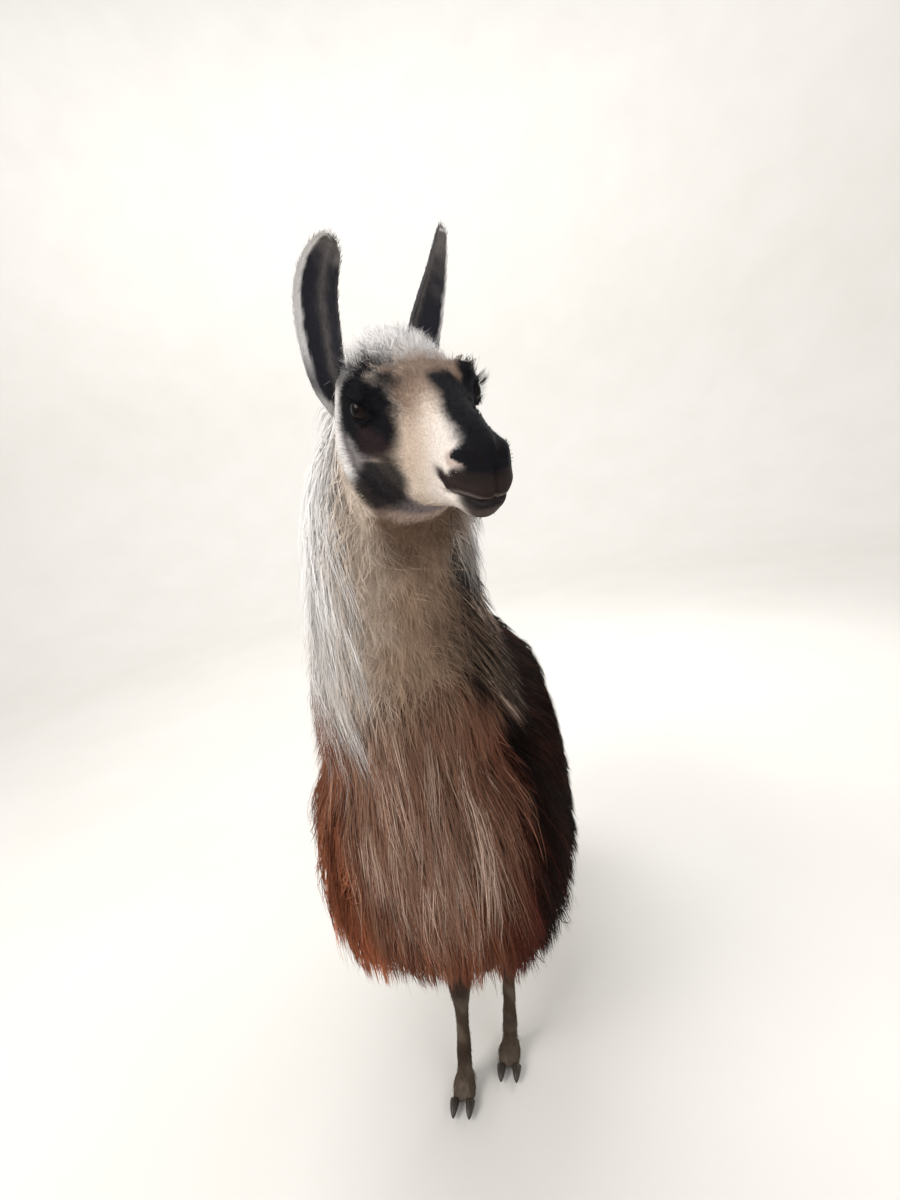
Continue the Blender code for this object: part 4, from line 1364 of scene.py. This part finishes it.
# A wisp's length, width, gathering, height over the skin and tip's tone, as multiples of a plain tuft's, and
# how much more of its zone's spare length it keeps.
WISP = SimpleNamespace(length=1.25, width=0.42, gather=0.35, height=1.12, tone=1.15, spare=0.6)


def patch_places(across, along):
    """Places on the export's map, spread over all of it."""
    both = rows(across, along)
    low, high = both.min(0), both.max(0)
    return 0.004 + 0.992 * (both - low) / (high - low)


def tuft_colours(zone, base, points, lock, wisp, draw):
    """Each tuft's colours at root and tip: its markings, a little lighter or darker by lock and by tuft."""
    count = len(base)
    own = np.exp(draw.normal(0, zone.tone, count) + (draw.normal(0, zone.lock_tone, count))[lock])
    chance = draw.uniform(0, 1, count)[lock]
    x, z = points[:, 0], points[:, 2]
    if zone.name == "chest":
        middle = ramp(x, -0.14, -0.06) * ramp(0.10 - x, 0.0, 0.07)
        bright = (chance > 0.4) & (chance < 0.55)
        base = mixed(
            base,
            (ROSE_TAUPE, (chance < 0.26) * ramp(z, 0.55, 0.85) * middle * 0.8),
            (MAROON, (chance > 0.80) * 0.55),
            (CHESTNUT, bright * 0.5 * fall(x, 0.08, 0.16)),
            (BAY, ramp(x, 0.15, 0.24) * 0.5),
        )
    if zone.name == "shawl":
        base = mixed(
            base,
            (ROSE_TAUPE, 0.55),
            (BLOND, (chance < 0.38) * 0.7),
            (BAY, (chance > 0.88) * 0.5 * ramp(x, 0.05, 0.15)),
        )
    if zone.name == "mane":
        dark = ramp(-(base[:, 0] - 0.30), -0.2, 0.1)
        base = mixed(base, (SILVER, (1 - dark) * 0.4), (BLOND, dark * (chance < 0.22) * 0.75))
    if zone.name in ("left", "right", "tail"):
        base = mixed(base, (FLANK_BROWN, (chance < 0.25) * 0.30))
    root = base * own[:, None]
    tip = root * (TIP_TONE * np.where(wisp, WISP.tone, 1.0))[:, None]
    return np.clip(root, 0, 1), np.clip(tip, 0, 1)


def grow_zone(zone, number, skin, weight, field, surface, wool):
    """One zone's tufts, in pieces that ride on the animal."""
    points, triangles = skin
    draw = np.random.default_rng(100 + number)
    count = zone.tufts
    roots, _ = scattered(points, triangles, weight, count, draw)
    wisp = draw.uniform(0, 1, count) < zone.wisps
    sizes = zone.length_of(roots) * zone.length * np.exp(draw.normal(0, SIZE_SPREAD, count))
    sizes = sizes * np.where(wisp, WISP.length, 1.0)
    height = coat_depth(roots) * zone.stand * draw.uniform(0.72, 1.08, count)
    height = height * np.where(wisp, WISP.height, 1.0)
    stray = zone.spread + zone.frizz * woolly_share(roots)
    pull = zone.pull(roots) + draw.normal(size=(count, 3)) * stray[:, None]
    lines = grown(roots, field, pull, sizes, height, zone.rings, zone.lift)
    lock = np.arange(count)
    if zone.gather:
        strength = zone.gather * draw.uniform(0.5, 1.25, count) * np.where(wisp, WISP.gather, 1.0)
        lines, lock = gathered(lines, strength, zone.each, draw)
    if zone.wave:
        turns = draw.uniform(0.35, 1.0, count)[lock]
        lines = waved(lines, zone.wave * sizes / zone.length, turns, lock, draw)
    spare = draw.uniform(-1.2, 1.0, count)[lock] * zone.spare + np.where(wisp, WISP.spare, 0.0) * zone.spare
    spare = spare + zone.bridge * (roots[:, 0] > NECK_FOOT[0] + 0.06) * fall(roots[:, 2], 1.28, 1.40)
    lines = trimmed(lines, surface, spare)
    lines[..., 2] = np.maximum(lines[..., 2], OVER_FLOOR)
    base = markings(roots + (lines[:, 1] - roots) * 0.5)
    facing, _ = field.look(roots)
    root, tip = tuft_colours(zone, base, roots, lock, wisp, draw)
    wide = zone.width * (0.6 + 0.4 * sizes / zone.length) * draw.uniform(0.7, 1.3, count)
    wide = wide * np.where(wisp, WISP.width, 1.0)
    across, along = zone.unwrap(roots)
    order = np.argsort(across, kind="stable")
    parts = np.array_split(order, int(np.ceil(count * (zone.rings * 6 - 2) / MOST_FACES)))
    for part, pick in enumerate(parts):
        places = patch_places(across[pick], along[pick])
        title = f"coat_{zone.name}" if len(parts) == 1 else f"coat_{zone.name}_{part + 1}"
        # painted shade at the roots, rising to the full colour towards the middle of each tuft
        shade = (zone.root_shade, 1.0)
        tufts = tuft_object(title, lines[pick], facing[pick], wide[pick], root[pick], tip[pick], places,
                            shade, draw)
        tufts.data.materials.append(wool)
        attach(tufts, "root")


def grow_coat(points, triangles, outer, wool):
    """The whole coat, zone by zone."""
    field = SkinField(points, normals_of(points, triangles))
    surface = SkinField(outer, normals_of(outer, triangles))
    middles = points[triangles].mean(1)
    names = zone_names(middles)
    hairy = 1.0 - bare_share(middles)
    for number, plan in enumerate(ZONES):
        zone = SimpleNamespace(**{**PLAIN, **plan})
        weight = (names == zone.name) if zone.share is None else zone.share(middles)
        grow_zone(zone, number, (points, triangles), weight * hairy, field, surface, wool)


def grow_ears(ears, wool):
    """Short hair on both ears, from foot to tip, and a longer pale fringe along their rims."""
    draw = np.random.default_rng(200)
    outs, lines, shades, places, wides = [], [], [], [], []
    for flat, faces, colours, way in ears:
        normals = normals_of(flat, faces)
        rings, sides = EAR_GRID
        fringe = np.tile(ramp(np.abs(np.cos(circle(sides))), 0.80, 0.97), rings)
        picked, chosen = scattered(flat, faces, 1 + 2.0 * fringe[faces].mean(1), EAR_TUFTS, draw)
        middle = flat.reshape(rings, sides, 3).mean(1)
        along = unit(np.gradient(middle, axis=0))
        ring = faces[chosen].mean(1) / sides
        way_up = along[np.clip(ring.astype(int), 0, rings - 1)]
        out = unit(normals[faces[chosen]].mean(1))
        edge = fringe[faces[chosen]].mean(1)
        lean = way_up + out * (0.10 + 0.16 * edge)[:, None] + draw.normal(0, 0.10, picked.shape)
        size = (EAR_TUFT + EAR_FRINGE * edge) * draw.uniform(0.6, 1.3, len(picked))
        steps = np.linspace(0, 1, 3)[None, :, None]
        lines.append(picked[:, None] + unit(lean)[:, None] * (size[:, None, None] * steps))
        shades.append(colours[faces[chosen]].mean(1) * np.exp(draw.normal(0, 0.06, (len(picked), 1))))
        side = (faces[chosen] % sides).mean(1) / sides
        places.append(rows((way > 0) * 1.0 + side * 0.96, ring))
        wides.append(np.full(len(picked), EAR_TUFT_WIDTH))
        outs.append(out)
    lines, shades = np.concatenate(lines), np.clip(np.concatenate(shades), 0, 1)
    spots = patch_places(*np.concatenate(places).T)
    # the ears' hair has a little painted shade at its roots
    tufts = tuft_object("coat_ears", lines, np.concatenate(outs), np.concatenate(wides), shades, shades,
                        spots, (0.9, 1.0), draw)
    tufts.data.materials.append(wool)
    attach(tufts, "root")


# ---- Toenails
NAIL_GRID = (16, 24)  # rings along a nail and points round it
NAIL_AHEAD = np.array([0.0, -0.9925, -0.1219])  # a nail points ahead and 7 degrees down
NAIL_LONG = 0.037  # from the root, hidden in the toe, to the tip
NAIL_HALF = (0.0114, 0.0112)  # half its width and height at the root
NAIL_ARCH = 0.0020  # how far its middle is raised above the straight line


def nail_surface(solid):
    """A toenail: arched above and flatter below, rounding off to a blunt tip where the solid's tip is.

    Its half width and height shrink from the root as (1 - way**1.8) to the power 0.68.
    """
    front = solid[solid[:, 1] < solid[:, 1].min() + 0.0012].mean(0)
    side = np.array([1.0, 0.0, 0.0])
    over = np.cross(side, -NAIL_AHEAD)
    way = np.linspace(0, 1, NAIL_GRID[0])
    round_off = np.maximum(1 - way**1.8, 0.0004) ** 0.68
    turn = circle(NAIL_GRID[1])
    middle = front + np.outer((way - 1) * NAIL_LONG, NAIL_AHEAD)
    middle += np.outer(NAIL_ARCH * np.sin(np.pi * way), over)
    wide = np.outer(round_off * NAIL_HALF[0], np.cos(turn))
    high = np.outer(round_off * NAIL_HALF[1], np.where(np.sin(turn) > 0, np.sin(turn), 0.75 * np.sin(turn)))
    return (middle[:, None] + wide[..., None] * side + high[..., None] * over).reshape(-1, 3)


def make_nail(name, material):
    """One toenail in the place of its solid."""
    solid = mesh_points(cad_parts[name].data)
    points = nail_surface(solid)
    horn = mesh_from(f"horn_{name[5:]}", points, outward(points, tube_triangles(*NAIL_GRID)))
    horn.data.materials.append(material)
    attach(horn, "root")
    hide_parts(name)


# ---- Eyes
EYE_GRID = (60, 72)  # rings from the pupil back and points round each
PUPIL_HALF = (0.44, 0.24)  # half the pupil's width and height, in radii of the eyeball
IRIS_EDGE = 0.80  # radians from the eye's axis
# The side of the lid, how many lashes stand on it and how long they are.
LASHES = ((1, 110, 0.015), (-1, 40, 0.005))
LASH_WIDTH = 0.0006


def eye_surface(way):
    """An eyeball with its clear front: a sphere whose front bulges out by a fifteenth of its radius.

    The rings run from the middle of the pupil back; each carries its angle from the eye's axis.
    """
    middle, out, ahead, up = eye_frame(way)
    rings, sides = EYE_GRID
    angle = np.linspace(0.02, np.pi - 0.02, rings)
    turn = circle(sides)
    bulge = EYE_RADIUS * (1 + 0.066 * np.exp(-((angle / 0.62) ** 4)))
    across = np.cos(turn)[:, None] * ahead + np.sin(turn)[:, None] * up
    rings_at = np.cos(angle)[:, None, None] * out + np.sin(angle)[:, None, None] * across[None]
    points = middle + rings_at * bulge[:, None, None]
    return points.reshape(-1, 3), np.repeat(angle, sides), np.tile(turn, rings)


def make_eye(way, material):
    """One eye: a wide level pupil, a dark brown iris with a darker rim, and a dark white of the eye."""
    points, angle, turn = eye_surface(way)
    flat = rows(np.sin(angle) * np.cos(turn), np.sin(angle) * np.sin(turn))
    iris = fall(angle, IRIS_EDGE, IRIS_EDGE + 0.06)
    spokes = 0.5 + 0.5 * np.sin(turn * 31 + 3 * np.sin(turn * 7))
    colours = mixed(
        EYE_WHITE,
        (IRIS_BROWN, iris),
        (IRIS_DARK, iris * spokes * 0.5),
        (IRIS_DARK, bell(angle, IRIS_EDGE, 0.07)),
        (PUPIL_BLACK, fall(((flat / PUPIL_HALF) ** 2).sum(1) ** 0.5, 0.92, 1.08)),
    )
    name = "eye_left_ball" if way > 0 else "eye_right_ball"
    eye = mesh_from(name, points, outward(points, tube_triangles(*EYE_GRID)))
    paint(eye.data, colours)
    eye.data.materials.append(material)
    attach(eye, "root")
    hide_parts("eye_left" if way > 0 else "eye_right")


def grow_lashes(wool):
    """Upper and lower lashes: thin dark spikes that fan out from the edges of the lids."""
    draw = np.random.default_rng(300)
    lines, outs = [], []
    for way in (-1, 1):
        middle, out, ahead, up = eye_frame(way)
        for upper, count, size in LASHES:
            turn = np.linspace(0.10, np.pi - 0.10, count) * upper + draw.normal(0, 0.03, count)
            angle = lid_opening(turn) * 1.02
            turn = turn + LID_TILT
            side = np.cos(turn)[:, None] * ahead + np.sin(turn)[:, None] * up
            start = np.cos(angle)[:, None] * out + np.sin(angle)[:, None] * side
            start = middle + start * (EYE_RADIUS + 0.0022)
            lean = out * 0.85 + side * 0.55 - up * (0.35 * (upper > 0)) + draw.normal(0, 0.10, (count, 3))
            curl = up * (0.35 * upper) + side * 0.2
            step = np.linspace(0, 1, 4)[None, :, None]
            long = size * draw.uniform(0.6, 1.1, count)[:, None, None]
            bend = unit(lean)[:, None] * step + curl[:, None] * step**2
            lines.append(start[:, None] + bend * long)
            outs.append(np.tile(out, (count, 1)))
    lines, outs = np.concatenate(lines), np.concatenate(outs)
    count = len(lines)
    colour = np.tile(LASH_BLACK, (count, 1))
    spots = patch_places(np.linspace(0, 1, count), np.tile((0.0, 1.0), count // 2))
    lashes = tuft_object("lashes", lines, outs, np.full(count, LASH_WIDTH), colour, colour, spots,
                         (1.0, 1.0), draw)
    lashes.data.materials.append(wool)
    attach(lashes, "root")


# ---- Building it all
set_camera()
set_stage()
outer, skin_points, skin_triangles = build_skin()
ears = [build_ear(EAR_RIGHT, -1), build_ear(EAR_LEFT, 1)]
surfaces = [(skin_points, skin_triangles, markings(outer))] + [ear[:3] for ear in ears]
skin_parts = joined(surfaces)
skin = mesh_from("skin", skin_parts[0], skin_parts[1])
paint(skin.data, skin_parts[2])
skin.data.materials.append(skin_material())
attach(skin, "root")
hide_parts(*FLESH, *EARS)
wet_eye = eye_material()
wool = wool_material()
for way in (-1, 1):
    make_eye(way, wet_eye)
grow_lashes(wool)
grow_ears(ears, wool)
grow_coat(skin_points, skin_triangles, outer, wool)
horn = horn_material()
for name in sorted(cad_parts):
    if name.startswith("nail_"):
        make_nail(name, horn)
